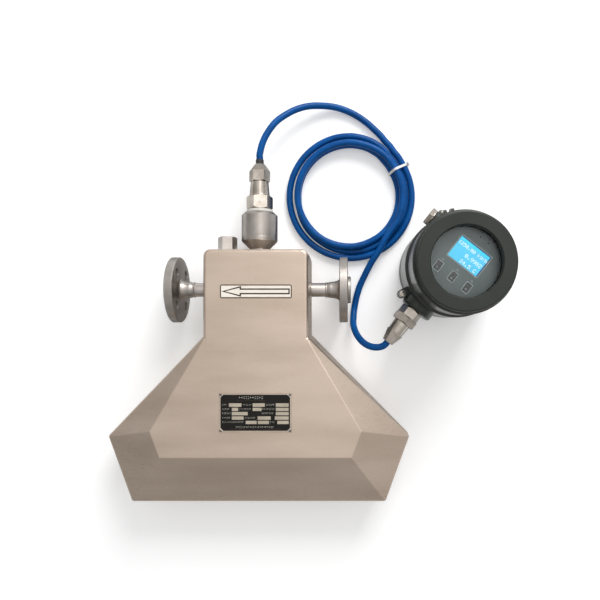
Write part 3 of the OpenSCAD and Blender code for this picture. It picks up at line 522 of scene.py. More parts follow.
def rod_mesh(start, end, radius):
    bm = bmesh.new()
    a, b = Vector(start), Vector(end)
    turn = (b - a).to_track_quat("Z", "Y").to_matrix().to_4x4()
    place = Matrix.Translation((a + b) / 2) @ turn
    bmesh.ops.create_cone(bm, cap_ends=True, segments=ROD_SIDES, radius1=radius,
                          radius2=radius, depth=(b - a).length, matrix=place)
    return bm


def add_prism(bm, outline, low, high, place):
    """A closed slab over a flat outline in millimetres, set in a local frame."""
    under, over = ([bm.verts.new(place @ Vector((x * MM, y * MM, z * MM)))
                    for x, y in outline] for z in (low, high))
    bm.faces.new(reversed(under))
    bm.faces.new(over)
    for i in range(len(outline)):
        j = (i + 1) % len(outline)
        bm.faces.new((under[i], under[j], over[j], over[i]))


def print_marks(name, outlines, layer, place, material):
    """A thin slab over each outline, as one piece; the layer is its lower and upper height."""
    bm = bmesh.new()
    for outline in outlines:
        add_prism(bm, outline, *layer, place)
    link_mesh(name, bm, material)


def bar(x0, y0, x1, y1):
    return [(x0, y0), (x1, y0), (x1, y1), (x0, y1)]


def line_strip(points, width):
    """Mitred bars that draw a line round a polygon, given anticlockwise."""
    count = len(points)
    outer, inner = [], []
    for i, p in enumerate(points):
        before, after = Vector(points[i - 1]), Vector(points[(i + 1) % count])
        here = Vector(p)
        d0 = (here - before).normalized()
        d1 = (after - here).normalized()
        n0, n1 = Vector((d0.y, -d0.x)), Vector((d1.y, -d1.x))
        mid = n0 + n1
        reach = mid * (width / 2 / max(mid.dot(n0), SHARPEST_MITRE))
        outer.append(here + reach)
        inner.append(here - reach)
    bars = []
    for i in range(count):
        j = (i + 1) % count
        bars.append([tuple(inner[i]), tuple(outer[i]), tuple(outer[j]), tuple(inner[j])])
    return bars


def rounded(x, y, hx, hy, radius, steps=5):
    """A rounded rectangle, anticlockwise, from its middle and half sizes."""
    points = []
    for sx, sy, start in ((1, -1, -90), (1, 1, 0), (-1, 1, 90), (-1, -1, 180)):
        cx, cy = x + sx * (hx - radius), y + sy * (hy - radius)
        for k in range(steps + 1):
            a = math.radians(start + 90 * k / steps)
            points.append((cx + radius * math.cos(a), cy + radius * math.sin(a)))
    return points


# ---- sensor case

DEPTH = 96 * MM
MID_Z = DEPTH / 2
WALL = 3 * MM
FOLD_R = 4.5 * MM
SEAM = 0.15 * MM
NECK_HALF = 72.5 * MM
NECK_TOP = 54 * MM
NECK_CORNER_R = 9 * MM
FOOT_Y = -67 * MM
WIDE = (216 * MM, -210 * MM)
LOW_Y = -304 * MM
LEAN = math.radians(20)
BEVEL_RUN = 70 * MM
BEVEL_FALL = 31 * MM
RIDGE_Y = -198 * MM
BOSS_X = -1.2 * MM
VENT_X = -48 * MM
LOW = (WIDE[0] - (WIDE[1] - LOW_Y) * math.tan(LEAN), LOW_Y)
# how far the neck's balls reach below its foot, and how far they dip inside the skirt there, so
# that their faces never coincide
NECK_REACH = 20 * MM
NECK_DIP = 0.06 * MM
CORNER_TURNS = (0, math.radians(30), math.radians(60), math.radians(90))
BALL_SIDES, INNER_SIDES = 48, 24
FLAT_ANGLE = 0.0005
# round holes across the seam, as start, end and radius: the process pipe, the cable's boss and
# the vent's boss
PIPE_HOLE = ((-0.09, 0, MID_Z), (0.09, 0, MID_Z), 10.3 * MM)
BOSS_HOLE = ((BOSS_X, 0.04, MID_Z), (BOSS_X, 0.06, MID_Z), 14.3 * MM)
VENT_HOLE = ((VENT_X, 0.04, MID_Z), (VENT_X, 0.06, MID_Z), 11.3 * MM)


def inset(a, b, c, d):
    """The point inside corner b that is d from both of its sides."""
    e1 = (Vector(a) - Vector(b)).normalized()
    e2 = (Vector(c) - Vector(b)).normalized()
    return Vector(b) + (e1 + e2) * (d / math.sin(e1.angle(e2)))


def fold_centres():
    """Centres of the folded corners: those of the neck and those of the skirt."""
    drop = (WIDE[1] - RIDGE_Y) * math.tan(LEAN)
    ridge_hi = (WIDE[0] - BEVEL_RUN / math.cos(LEAN) - drop, RIDGE_Y)
    ridge_y = LOW_Y + BEVEL_RUN
    ridge_lo = (ridge_hi[0] - (RIDGE_Y - ridge_y) * math.tan(LEAN), ridge_y)
    bevel = math.atan(BEVEL_FALL / BEVEL_RUN)
    fold = FOLD_R * math.tan(bevel / 2)
    rim = DEPTH - BEVEL_FALL + FOLD_R * math.tan(bevel) - FOLD_R / math.cos(bevel)
    foot = inset((-NECK_HALF, FOOT_Y), (NECK_HALF, FOOT_Y), WIDE, FOLD_R)
    wide = inset((NECK_HALF, FOOT_Y), WIDE, LOW, FOLD_R)
    low_in = inset(WIDE, LOW, (-LOW[0], LOW[1]), FOLD_R)
    levels = ((FOLD_R, DEPTH - rim, NECK_DIP), (DEPTH - FOLD_R, rim, -NECK_DIP))
    bow = NECK_CORNER_R - FOLD_R
    neck, skirt = [], []
    for side in (-1, 1):
        for z, rim_z, dip in levels:
            for turn in CORNER_TURNS:
                neck.append((side * (NECK_HALF - NECK_CORNER_R + bow * math.cos(turn)),
                             NECK_TOP - NECK_CORNER_R + bow * math.sin(turn), z))
            neck.append((side * (NECK_HALF - FOLD_R), FOOT_Y - NECK_REACH, z + dip))
            for x, y, level in (
                (foot.x, foot.y, z),
                (ridge_hi[0] - fold, ridge_hi[1], z),
                (ridge_lo[0] - fold, ridge_lo[1] + fold, z),
                (wide.x, wide.y, rim_z),
                (low_in.x, low_in.y, rim_z),
            ):
                skirt.append((side * x, y, level))
    return neck, skirt


def hull_of_balls(centres, radius, segments):
    """The convex skin round balls of one radius, with its flat faces merged."""
    bm = bmesh.new()
    for centre in centres:
        bmesh.ops.create_uvsphere(bm, u_segments=segments, v_segments=segments // 2,
                                  radius=radius, matrix=Matrix.Translation(centre))
    made = bmesh.ops.convex_hull(bm, input=bm.verts)
    stray = [v for v in made["geom_interior"] if isinstance(v, bmesh.types.BMVert)]
    bmesh.ops.delete(bm, geom=stray, context="VERTS")
    bmesh.ops.delete(bm, geom=[v for v in bm.verts if not v.link_faces], context="VERTS")
    bmesh.ops.dissolve_limit(bm, angle_limit=FLAT_ANGLE, verts=bm.verts, edges=bm.edges)
    return bm


def case_body(radius, segments, name="cutter"):
    """Neck and skirt in one, with balls of the radius at the folds."""
    neck, skirt = fold_centres()
    body = loose(hull_of_balls(neck, radius, segments), name)
    boolean(body, loose(hull_of_balls(skirt, radius, segments)), "UNION")
    return body


def case_shell(name, front):
    """Half of the sheet case, cut at the seam and open for the pipes and bosses."""
    shell = case_body(FOLD_R, BALL_SIDES, name)
    boolean(shell, case_body(FOLD_R - WALL, INNER_SIDES), "DIFFERENCE")
    edge = MID_Z + SEAM if front else MID_Z - SEAM
    low_z, high_z = (-1.0, edge) if front else (edge, 1.0)
    boolean(shell, loose(box_mesh((-1, -1, low_z), (1, 1, high_z))), "DIFFERENCE")
    for hole in (PIPE_HOLE, BOSS_HOLE, VENT_HOLE):
        boolean(shell, loose(rod_mesh(*hole)), "DIFFERENCE")
    smooth(shell)
    even = shell.modifiers.new("even", "WEIGHTED_NORMAL")
    even.keep_sharp = True
    dress(shell, CASE)
    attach(shell, "base")
    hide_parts(name.replace("_shell", ""))


# ---- weld beads

SEAM_STEP = 0.8 * MM
RING_STEP = 0.5 * MM
RING_PITCH = 2.2 * MM
RING_LEAN = math.radians(45)
PIPE_WELD_OUT = 0.6 * MM
BEAD_SIDES = 8
BEAD_ANGLE = 50
# the bead's uneven width, its ripples, and its root inside the metal, as parts of its size
SWAY, SWAY_RATE = 0.05, 1.7
RIPPLE_LOW, RIPPLE_LAG = 0.72, 0.35
ROOT_HALF, ROOT_DEPTH = 0.6, 0.9


def arc_path(corners, radii, step):
    """A closed path round a polygon, its outward corners rounded."""
    count = len(corners)
    bends = []
    for i, here in enumerate(corners):
        a, b, c = Vector(corners[i - 1]), Vector(here), Vector(corners[(i + 1) % count])
        d0, d1 = (b - a).normalized(), (c - b).normalized()
        turn = math.atan2(d0.x * d1.y - d0.y * d1.x, d0.dot(d1))
        if turn < 0:
            bends.append(([b], b, b))
            continue
        radius = radii[i]
        cut = radius * math.tan(turn / 2)
        start, stop = b - d0 * cut, b + d1 * cut
        centre = start + Vector((-d0.y, d0.x)) * radius
        n = max(2, int(radius * turn / step))
        points = []
        for k in range(n + 1):
            t = turn * k / n
            out = Vector((d0.y, -d0.x))
            spun = Vector((out.x * math.cos(t) - out.y * math.sin(t),
                           out.x * math.sin(t) + out.y * math.cos(t)))
            points.append(centre + spun * radius)
        bends.append((points, start, stop))
    path = []
    for i, (points, start, stop) in enumerate(bends):
        path += points
        ahead = bends[(i + 1) % count][1] - stop
        n = max(1, int(ahead.length / step))
        path += [stop + ahead * (k / n) for k in range(1, n)]
    return path


def bead_mesh(points, outs, sides, width, height, pitch):
    """A closed weld bead with ripples: points in metres, outs the way it stands proud."""
    bm = bmesh.new()
    rings = []
    travelled = 0.0
    for i, (p, out, side) in enumerate(zip(points, outs, sides)):
        if i:
            travelled += (p - points[i - 1]).length
        ring = []
        sway = 1.0 + SWAY * math.sin(travelled / pitch * SWAY_RATE)
        for k in range(BEAD_SIDES + 1):
            a = math.pi * k / BEAD_SIDES
            lag = RIPPLE_LAG * pitch * math.cos(a) ** 2
            swell = math.sqrt(((travelled + lag) / pitch) % 1.0)
            ripple = RIPPLE_LOW + (1 - RIPPLE_LOW) * swell
            ring.append(bm.verts.new(p + side * (width * sway * math.cos(a))
                                     + out * (height * ripple * math.sin(a))))
        for way in (-ROOT_HALF, ROOT_HALF):
            ring.append(bm.verts.new(p + side * (width * way) - out * (height * ROOT_DEPTH)))
        rings.append(ring)
    corners = BEAD_SIDES + 3
    for i, a in enumerate(rings):
        b = rings[(i + 1) % len(rings)]
        for k in range(corners):
            j = (k + 1) % corners
            bm.faces.new((a[k], a[j], b[j], b[k]))
    bmesh.ops.recalc_face_normals(bm, faces=bm.faces)
    return bm


def seam_weld(width, height, pitch):
    """The bead that joins the two shells, all round the case."""
    right = [(LOW[0], LOW_Y), WIDE, (NECK_HALF, FOOT_Y), (NECK_HALF, NECK_TOP)]
    corners = [(-x, y) for x, y in reversed(right)] + right
    radii = [NECK_CORNER_R] + [FOLD_R] * (len(corners) - 2) + [NECK_CORNER_R]
    path = arc_path(corners, radii, SEAM_STEP)
    flat = [p for i, p in enumerate(path) if (p - path[i - 1]).length > 1e-6]
    points, outs = [], []
    count = len(flat)
    for i, p in enumerate(flat):
        along = (flat[(i + 1) % count] - flat[i - 1]).normalized()
        points.append(Vector((p.x, p.y, MID_Z)))
        outs.append(Vector((along.y, -along.x, 0)))
    up = [Vector((0, 0, 1))] * count
    bm = bead_mesh(points, outs, up, width, height, pitch)
    smooth(link_mesh("seam_weld", bm, WELD), BEAD_ANGLE)


def ring_weld(name, centre, axis, radius, width, height):
    """A bead in a circle round a pipe or boss, tipped into the corner."""
    axis = Vector(axis).normalized()
    across = axis.orthogonal().normalized()
    other = axis.cross(across)
    count = int(2 * math.pi * radius / RING_STEP)
    points, outs, sides = [], [], []
    for i in range(count):
        a = 2 * math.pi * i / count
        out = across * math.cos(a) + other * math.sin(a)
        points.append(Vector(centre) + out * radius)
        outs.append((out * math.cos(RING_LEAN) + axis * math.sin(RING_LEAN)).normalized())
        sides.append((axis * math.cos(RING_LEAN) - out * math.sin(RING_LEAN)).normalized())
    turns = round(2 * math.pi * radius / RING_PITCH)
    bm = bead_mesh(points, outs, sides, width, height, 2 * math.pi * radius / turns)
    smooth(link_mesh(name, bm, WELD), BEAD_ANGLE)


case_shell("case_front_shell", True)
case_shell("case_back_shell", False)
seam_weld(width=2.0 * MM, height=0.7 * MM, pitch=2.4 * MM)
ring_weld("boss_weld", (BOSS_X, NECK_TOP, MID_Z), (0, 1, 0), radius=14.2 * MM,
          width=1.2 * MM, height=0.7 * MM)
for side, name in ((-1, "outlet"), (1, "inlet")):
    ring_weld(name + "_pipe_weld", (side * (NECK_HALF + PIPE_WELD_OUT), 0, MID_Z), (side, 0, 0),
              radius=10.6 * MM, width=1.9 * MM, height=1.4 * MM)


# ---- plates on the case

# the plates, their print and the display are in millimetres
ARROW_MID = (0.8, -4.5)
ARROW_HALF = (49.5, 9.5)
ARROW_TOP = 96.6
ARROW_EDGE, ARROW_CORNER = 1.6, 1.3
ARROW_LINE = 1.9
# the arrow's half widths, and how far along the plate its parts stand
ARROW_SHAFT, ARROW_HEAD = 3.1, 6.2
ARROW_TIP, ARROW_BASE, ARROW_TAIL = -45.0, -21.4, 45.6
PLATE_MID = (0.0, -171.5)
PLATE_TOP = 96.8
FIELD_HALF = (47.75, 24.75)
FIELD_CUT = 3.6
# heights of printed layers above their ground: the lowest starts just inside it
GROUND_LAYER = (-0.02, 0.05)
ARROW_LAYER = (-0.02, 0.07)
FIELD_LAYER = (0.04, 0.08)
SMALL_LAYER = (0.04, 0.07)
# blank silver fields of the name plate: middle, height and the spans along the row
BLANK_FIELDS = (
    (10.6, 4.9, ((-36.3, -19.0), (-3.6, 13.0), (28.2, 45.9))),
    (4.6, 4.5, ((-32.3, -23.5), (-3.6, 8.6), (28.2, 45.9))),
    (-1.2, 4.6, ((-32.3, -10.4), (28.2, 45.9))),
    (-7.3, 4.7, ((-32.3, -16.1), (3.2, 21.2), (26.9, 45.9))),
    (-13.3, 4.5, ((-13.2, 1.9), (3.5, 18.9), (30.3, 45.9))),
)
# strokes that stand for words: middle, letter height and the spans along the row
LABELS = (
    (20.6, 3.0, ((-22.5, 12.2),)),
    (10.9, 1.9, ((-45.6, -37.6), (-17.2, -5.0), (14.8, 27.0))),
    (4.9, 1.9, ((-45.6, -34.0), (-21.5, -5.0), (10.0, 27.0))),
    (-0.9, 1.9, ((-45.6, -33.6), (9.0, 25.4))),
    (-7.0, 1.9, ((-45.6, -33.6), (-14.4, 0.8))),
    (-13.0, 1.9, ((-45.6, -14.4), (20.8, 28.0))),
    (-19.9, 2.2, ((-27.0, 27.5),)),
)
SMALL_LABELS = (
    (16.4, 1.3, ((-24.5, 14.0),)),
    (-22.7, 1.0, ((-34.5, 35.5),)),
)
# width, gap and stroke of a letter, as parts of its height
LETTER_W = (0.55, 0.8)
LETTER_GAP = 0.42
LETTER_STROKE = 0.16
HAIR = 0.01
# the light lines across the name plate's cut corners: half width, and how far off the field
CORNER_LINE = 0.35
CORNER_IN, CORNER_OUT = 0.3, 0.45


def on_face(middle, level):
    return Matrix.Translation((middle[0] * MM, middle[1] * MM, level * MM))


def arrow_print():
    place = on_face(ARROW_MID, ARROW_TOP)
    hx, hy = (half - ARROW_EDGE / 2 for half in ARROW_HALF)
    edge = line_strip(rounded(0, 0, hx, hy, ARROW_CORNER), ARROW_EDGE)
    print_marks("arrow_plate_edge", edge, GROUND_LAYER, place, EDGE_INK)
    outline = [(ARROW_TIP, 0), (ARROW_BASE, -ARROW_HEAD), (ARROW_BASE, -ARROW_SHAFT),
               (ARROW_TAIL, -ARROW_SHAFT), (ARROW_TAIL, ARROW_SHAFT),
               (ARROW_BASE, ARROW_SHAFT), (ARROW_BASE, ARROW_HEAD)]
    print_marks("flow_arrow", line_strip(outline, ARROW_LINE), ARROW_LAYER, place, BROWN_INK)


def letter_strokes(x, y, w, size):
    """Two strokes in one of three simple shapes, drawn at random."""
    half, t = size / 2, size * LETTER_STROKE
    shape = random.choice(("tee", "corner", "rails"))
    if shape == "tee":
        middle = x + w / 2
        return [bar(x, y - t / 2, x + w, y + t / 2),
                bar(middle - t / 2, y + t / 2 + HAIR, middle + t / 2, y + half)]
    if shape == "corner":
        return [bar(x, y - half, x + t, y + half),
                bar(x + t + HAIR, y + half - t, x + w, y + half)]
    return [bar(x, y + half - t, x + w, y + half), bar(x, y - half, x + w, y - half + t)]


def label_dashes(rows):
    """Rows of short upright and level strokes that stand for small print."""
    bars = []
    for y, size, spans in rows:
        for x, end in spans:
            while x + size * LETTER_W[1] <= end:
                w = size * random.uniform(*LETTER_W)
                bars += letter_strokes(x, y, w, size)
                x += w + size * LETTER_GAP
    return bars


def corner_lines():
    """A light line along each cut corner of the name plate's field."""
    hx, hy = FIELD_HALF
    lines = []
    for sx in (-1, 1):
        for sy in (-1, 1):
            a = Vector((sx * (hx - FIELD_CUT + CORNER_IN), sy * (hy + CORNER_OUT)))
            b = Vector((sx * (hx + CORNER_OUT), sy * (hy - FIELD_CUT + CORNER_IN)))
            along = (b - a).normalized()
            wide = Vector((-along.y, along.x)) * CORNER_LINE
            lines.append([tuple(a - wide), tuple(b - wide), tuple(b + wide), tuple(a + wide)])
    return lines


def name_plate_print():
    place = on_face(PLATE_MID, PLATE_TOP)
    hx, hy = FIELD_HALF
    cut = FIELD_CUT
    field = [(-hx + cut, -hy), (hx - cut, -hy), (hx, -hy + cut), (hx, hy - cut), (hx - cut, hy),
             (-hx + cut, hy), (-hx, hy - cut), (-hx, -hy + cut)]
    print_marks("plate_field", [field], GROUND_LAYER, place, INK)
    fields = [bar(x0, y - h / 2, x1, y + h / 2)
              for y, h, spans in BLANK_FIELDS for x0, x1 in spans]
    print_marks("plate_blank_fields", fields, FIELD_LAYER, place, SILVER_FIELD)
    print_marks("plate_marks", label_dashes(LABELS), FIELD_LAYER, place, MARK_INK)
    print_marks("plate_small_marks", label_dashes(SMALL_LABELS), SMALL_LAYER, place, EDGE_INK)
    print_marks("plate_corner_lines", corner_lines(), GROUND_LAYER, place, NYLON)


arrow_print()
name_plate_print()


# ---- display

TX = (278.0, 30.6)
TX_TURN = math.radians(38)
PANEL_TOP = 136.0
LCD_TOP_Z = 135.6
LCD_MID = (0.9, 12.0)
LCD_HALF = (24.0, 16.0)
KEY_XS = (-24.0, -0.3, 23.4)
KEY_Y = -22.8
KEY_HALF = (4.15, 6.35)
# layers on the lit face, above it: the top strip, the painted shade at the rim and the figures,
# each over the last
STRIP_LAYER = (-0.05, 0.05)
SHADE_LAYER = (-0.05, 0.07)
FIGURE_LAYER = (-0.05, 0.09)
LCD_INSET = 0.35
STRIP_H = 4.2
SHADE_TOP, SHADE_SIDE, SHADE_OVER = 1.0, 1.2, 0.3
# words, their place from the lit face's upper left corner, and the size of their dots
READINGS = (("1250.00 kg/h", 0.6, -8.0, 0.645), ("0.9982", 18.5, -17.9, 0.74),
            ("24.5 C", 17.0, -27.4, 0.72))
DOT_FILL = 1.12
DOT_GAP = 0.02
# white lines round the display and the keys: distance, corner radius and line width
LCD_FRAME = (0.9, 1.6, 0.7)
KEY_FRAME = (0.5, 0.5, 0.8)
# the triangle above a key: half width, gap and height
SIGN_HALF, SIGN_GAP, SIGN_H = 1.9, 2.6, 3.2
# a key's lens, and the wells and rims of the signal lamps, as half size and corner
LENS_DOWN = 2.2
LENS_SINK = 0.4
LENS = (1.3, 1.25)
LAMPS = ((-3.0, 40.5), (10.0, 40.5))
WELL = (1.0, 0.98)
LAMP_RIM = (1.35, 1.33)
LAMP_LINE = 0.3
LENS_LAYER = (-0.3, 0.04)
WELL_LAYER = (-0.02, 0.04)

GLYPHS = {
    "0": "01110 10001 10011 10101 11001 10001 01110",
    "1": "00100 01100 00100 00100 00100 00100 01110",
    "2": "01110 10001 00001 00110 01000 10000 11111",
    "4": "00010 00110 01010 10010 11111 00010 00010",
    "5": "11111 10000 11110 00001 00001 10001 01110",
    "8": "01110 10001 10001 01110 10001 10001 01110",
    "9": "01110 10001 10001 01111 00001 00010 01100",
    ".": "00000 00000 00000 00000 00000 01100 01100",
    "k": "10000 10000 10010 10100 11000 10100 10010",
    "g": "00000 01111 10001 10001 01111 00001 01110",
    "/": "00000 00001 00010 00100 01000 10000 00000",
    "h": "10000 10000 10110 11001 10001 10001 10001",
    "C": "01110 10001 10000 10000 10000 10001 01110",
    " ": "00000 00000 00000 00000 00000 00000 00000",
}


def panel_place(level):
    return (Matrix.Translation((TX[0] * MM, TX[1] * MM, level * MM))
            @ Matrix.Rotation(-TX_TURN, 4, "Z"))


def dot_text(words, x, y, dot):
    """Plain figures in a 5 by 7 grid of dots, from x rightwards, centred on y."""
    bars = []
    for letter in words:
        for row, line in enumerate(GLYPHS[letter].split()):
            for column, mark in enumerate(line):
                if mark == "1":
                    x0, y0 = x + column * dot, y + (2.5 - row) * dot
                    bars.append(bar(x0, y0 + DOT_GAP, x0 + dot * DOT_FILL,
                                    y0 + dot - DOT_GAP))
        x += 6 * dot
    return bars


def display_content():
    place = panel_place(LCD_TOP_Z)
    hx, hy = (half - LCD_INSET for half in LCD_HALF)
    x0, x1 = LCD_MID[0] - hx, LCD_MID[0] + hx
    y0, y1 = LCD_MID[1] - hy, LCD_MID[1] + hy
    strip = [bar(x0, y1 - STRIP_H, x1, y1)]
    print_marks("lcd_top_strip", strip, STRIP_LAYER, place, LCD_TOP)
    # painted shade: darker blue bars along the top and right edges of the lit face, where the
    # window's rim shades it
    shade = [bar(x0, y1 - SHADE_TOP, x1, y1 + SHADE_OVER),
             bar(x1 - SHADE_SIDE, y0, x1 + SHADE_OVER, y1 - SHADE_TOP)]
    print_marks("lcd_shaded_rim", shade, SHADE_LAYER, place, LCD_PAINTED_SHADE)
    bars = []
    for words, dx, dy, dot in READINGS:
        bars += dot_text(words, x0 + dx, y1 + dy, dot)
    print_marks("lcd_figures", bars, FIGURE_LAYER, place, LCD_TEXT)


def panel_print():
    place = panel_place(PANEL_TOP)
    away, corner, line = LCD_FRAME
    box = rounded(*LCD_MID, LCD_HALF[0] + away, LCD_HALF[1] + away, corner)
    print_marks("lcd_frame_line", line_strip(box, line), GROUND_LAYER, place, WHITE_INK)
    away, corner, line = KEY_FRAME
    kx, ky = KEY_HALF[0] + away, KEY_HALF[1] + away
    foot = KEY_Y + ky + SIGN_GAP
    lines, signs, lenses = [], [], []
    for x in KEY_XS:
        lines += line_strip(rounded(x, KEY_Y, kx, ky, corner, 3), line)
        signs.append([(x - SIGN_HALF, foot), (x + SIGN_HALF, foot), (x, foot + SIGN_H)])
        lenses.append(rounded(x, KEY_Y - LENS_DOWN, LENS[0], *LENS, 6))
    print_marks("key_outlines", lines, GROUND_LAYER, place, WHITE_INK)
    print_marks("key_signs", signs, GROUND_LAYER, place, DIM_INK)
    print_marks("key_lenses", lenses, LENS_LAYER, panel_place(PANEL_TOP - LENS_SINK), DIM_INK)
    wells, rims = [], []
    for x, y in LAMPS:
        wells.append(rounded(x, y, WELL[0], *WELL))
        rims += line_strip(rounded(x, y, LAMP_RIM[0], *LAMP_RIM), LAMP_LINE)
    print_marks("lamp_wells", wells, WELL_LAYER, place, INK)
    print_marks("lamp_rims", rims, GROUND_LAYER, place, PANEL)


display_content()
panel_print()


# ---- cable tie

TIE_TURN = math.radians(60)
TIE_HALF_W = 1.8
TIE_T = 1.2
TIE_SLACK = 0.05
TIE_BEVEL = 0.25 * MM
# the strap's inner and outer face stay this high above the bench
INNER_LOW, OUTER_LOW = 0.05, 0.02
WRAP_POINTS = 32
# locking head and cut end, from the strap's outermost point: lower and upper corner
TIE_BLOCKS = (((-0.4, 2.4, -3.0), (3.6, 7.6, 3.0)), ((0.6, 7.6, -1.6), (1.8, 12.4, 1.6)))
# the strands in the tie's plane: distance from the coil's centre and height
STRANDS = [(94.3, 5.1), (84.2, 5.1), (74.1, 5.1), (79.2, 14.0)]


def hull_outline(points):
    """Convex outline, anticlockwise, of flat points."""
    points = sorted(set(points))

    def left_turn(a, b, c):
        return (b[0] - a[0]) * (c[1] - a[1]) - (b[1] - a[1]) * (c[0] - a[0]) > 0

    def half(run):
        chain = []
        for p in run:
            while len(chain) > 1 and not left_turn(chain[-2], chain[-1], p):
                chain.pop()
            chain.append(p)
        return chain[:-1]

    return half(points) + half(reversed(points))


def wrap(radius):
    """The outline of a strap round all strands."""
    ring = []
    for r, z in STRANDS:
        for k in range(WRAP_POINTS):
            a = 2 * math.pi * k / WRAP_POINTS
            ring.append((r + radius * math.cos(a), max(z + radius * math.sin(a), INNER_LOW)))
    return hull_outline(ring)


def tie_matrix():
    """The tie's plane: outwards from the coil, upwards, and along the strands."""
    out = Vector((math.sin(TIE_TURN), math.cos(TIE_TURN), 0))
    up = Vector((0, 0, 1))
    along = out.cross(up)
    base = Matrix((out, up, along)).transposed().to_4x4()
    return Matrix.Translation((COIL_AT[0] * MM, COIL_AT[1] * MM, 0)) @ base


def make_tie():
    """Nylon strap round the strands, with its locking head and cut end."""
    place = tie_matrix()
    inner = wrap(CABLE_R + TIE_SLACK)
    count = len(inner)
    outer = []
    for i, p in enumerate(inner):
        run = Vector(inner[(i + 1) % count]) - Vector(inner[i - 1])
        q = Vector(p) + Vector((run.y, -run.x)).normalized() * TIE_T
        outer.append((q.x, max(q.y, OUTER_LOW)))
    bm = bmesh.new()
    in0, out0, in1, out1 = (
        [bm.verts.new(place @ Vector((x * MM, y * MM, w * MM))) for x, y in outline]
        for w in (-TIE_HALF_W, TIE_HALF_W) for outline in (inner, outer))
    for i in range(count):
        j = (i + 1) % count
        bm.faces.new((out0[i], out0[j], out1[j], out1[i]))
        bm.faces.new((in0[j], in0[i], in1[i], in1[j]))
        bm.faces.new((in0[i], in0[j], out0[j], out0[i]))
        bm.faces.new((out1[i], out1[j], in1[j], in1[i]))
    reach = max(p[0] for p in outer)
    for block in TIE_BLOCKS:
        corners = [place @ Vector(((reach + x) * MM, y * MM, z * MM))
                   for x, y, z in itertools.product(*zip(*block))]
        bmesh.ops.convex_hull(bm, input=[bm.verts.new(c) for c in corners])
    bmesh.ops.recalc_face_normals(bm, faces=bm.faces)
    tie = link_mesh("tie_strap", bm, NYLON)
    edge = tie.modifiers.new("edge", "BEVEL")
    edge.width, edge.segments, edge.limit_method = TIE_BEVEL, 2, "ANGLE"
    smooth(tie)
    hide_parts("cable_tie")
    return tie


dress(smooth(cable), SHEATH)
tie = make_tie()


# ---- stage and lights

FLOOR_Z = -0.4 * MM
FLOOR_LIFT = 0.26
FLOOR_FADE = (0.75, 2.2)
FLOOR_MID = (0.1, 0)
FLOOR_HALF = 4.0
FLOOR_WHITE = (0.88, 0.88, 0.88, 1)
# the studio's grey against the height along a tilted axis, as position and brightness
DOME_AXIS = (0.25, 0.35, 1.0)
DOME_FROM, DOME_TO = -0.4, 1.09
BACKDROP = ((0.0, 0.17), (0.23, 0.30), (0.30, 0.44), (0.40, 0.52), (0.63, 0.62), (0.80, 0.74),
            (0.85, 0.90), (0.905, 1.10), (0.975, 1.2), (1.0, 3.0))
DOME_LIGHT = ((0.0, 0.15), (0.46, 0.36), (0.88, 0.84))
WARM = (1.04, 1.0, 0.98)
PLAIN = (1.0, 1.0, 1.0)
RING_HIGH, RING_LOW = 0.12, 0.04


def seen_rays(tree):
    """1 for what the eye, mirrors and glass see, 0 for what lights the object."""
    path = tree.nodes.new("ShaderNodeLightPath")
    seen = path.outputs["Is Camera Ray"]
    for also in ("Is Glossy Ray", "Is Transmission Ray"):
        seen = add_math(tree, "MAXIMUM", seen, path.outputs[also])
    return seen


def make_floor():
    """A pale floor, lifted a little, that fades to white far from the object."""
    bm = bmesh.new()
    bmesh.ops.create_grid(bm, x_segments=1, y_segments=1, size=FLOOR_HALF)
    floor = loose(bm, "floor")
    floor.location = (*FLOOR_MID, FLOOR_Z)
    material, tree, shader = node_material("floor")
    shader.inputs["Base Color"].default_value = FLOOR_WHITE
    shader.inputs["Roughness"].default_value = 0.9
    shader.inputs["Specular IOR Level"].default_value = 0.1
    shader.inputs["Emission Color"].default_value = (1, 1, 1, 1)
    lift = add_span(tree, seen_rays(tree), 0.0, 1.0, 0.0, FLOOR_LIFT)
    coords = tree.nodes.new("ShaderNodeTexCoord")
    reach = tree.nodes.new("ShaderNodeVectorMath")
    reach.operation = "LENGTH"
    tree.links.new(coords.outputs["Object"], reach.inputs[0])
    far = add_span(tree, reach.outputs["Value"], *FLOOR_FADE)
    path = tree.nodes.new("ShaderNodeLightPath")
    fade = add_math(tree, "MULTIPLY", path.outputs["Is Camera Ray"], far)
    strength = add_math(tree, "MAXIMUM", lift, fade)
    tree.links.new(strength, shader.inputs["Emission Strength"])
    dress(floor, material)


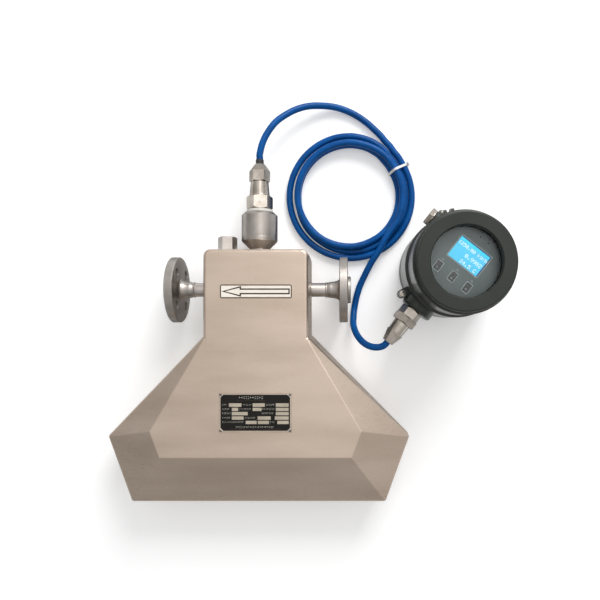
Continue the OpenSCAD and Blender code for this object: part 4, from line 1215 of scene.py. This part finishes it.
def make_lamp(name, place, target, size, power):
    data = bpy.data.lights.new(name, "AREA")
    data.shape = "RECTANGLE"
    data.size, data.size_y = size
    data.energy = power
    lamp = bpy.data.objects.new(name, data)
    lamp.location = place
    aim = Vector(target) - Vector(place)
    lamp.rotation_euler = aim.to_track_quat("-Z", "Y").to_euler()
    bpy.context.scene.collection.objects.link(lamp)


def toned(levels, tone):
    """Ramp stops in one tone, from positions and brightnesses."""
    return [(position, [level * c for c in tone]) for position, level in levels]


def make_world():
    """A studio: a white ring at the horizon, and a graded dome that shapes the metal."""
    world = bpy.data.worlds.new("studio")
    bpy.context.scene.world = world
    world.use_nodes = True
    tree = world.node_tree
    light = tree.nodes["Background"]
    coords = tree.nodes.new("ShaderNodeTexCoord")
    tilt = tree.nodes.new("ShaderNodeVectorMath")
    tilt.operation = "DOT_PRODUCT"
    tilt.inputs[1].default_value = DOME_AXIS
    tree.links.new(coords.outputs["Generated"], tilt.inputs[0])
    height = add_span(tree, tilt.outputs["Value"], DOME_FROM, DOME_TO)
    tree.links.new(add_ramp(tree, height, toned(DOME_LIGHT, PLAIN)), light.inputs["Color"])
    dome = tree.nodes.new("ShaderNodeBackground")
    tree.links.new(add_ramp(tree, height, toned(BACKDROP, WARM)), dome.inputs["Color"])
    white = tree.nodes.new("ShaderNodeBackground")
    white.inputs["Color"].default_value = (1, 1, 1, 1)
    axes = tree.nodes.new("ShaderNodeSeparateXYZ")
    tree.links.new(coords.outputs["Generated"], axes.inputs[0])
    ring = add_span(tree, axes.outputs["Z"], RING_HIGH, RING_LOW)
    seen = seen_rays(tree)
    path = tree.nodes.new("ShaderNodeLightPath")
    near = add_math(tree, "MAXIMUM", path.outputs["Is Camera Ray"], ring)
    shown = add_mix(tree, seen, light.outputs[0], dome.outputs[0])
    behind = add_mix(tree, add_math(tree, "MULTIPLY", seen, near), shown, white.outputs[0])
    tree.links.new(behind, tree.nodes["World Output"].inputs["Surface"])


bpy.context.scene.view_settings.view_transform = "Standard"
make_floor()
make_world()
make_lamp("key", place=(0.9, 2.2, 1.6), target=(0.1, 0, 0), size=(1.3, 1.3), power=60)
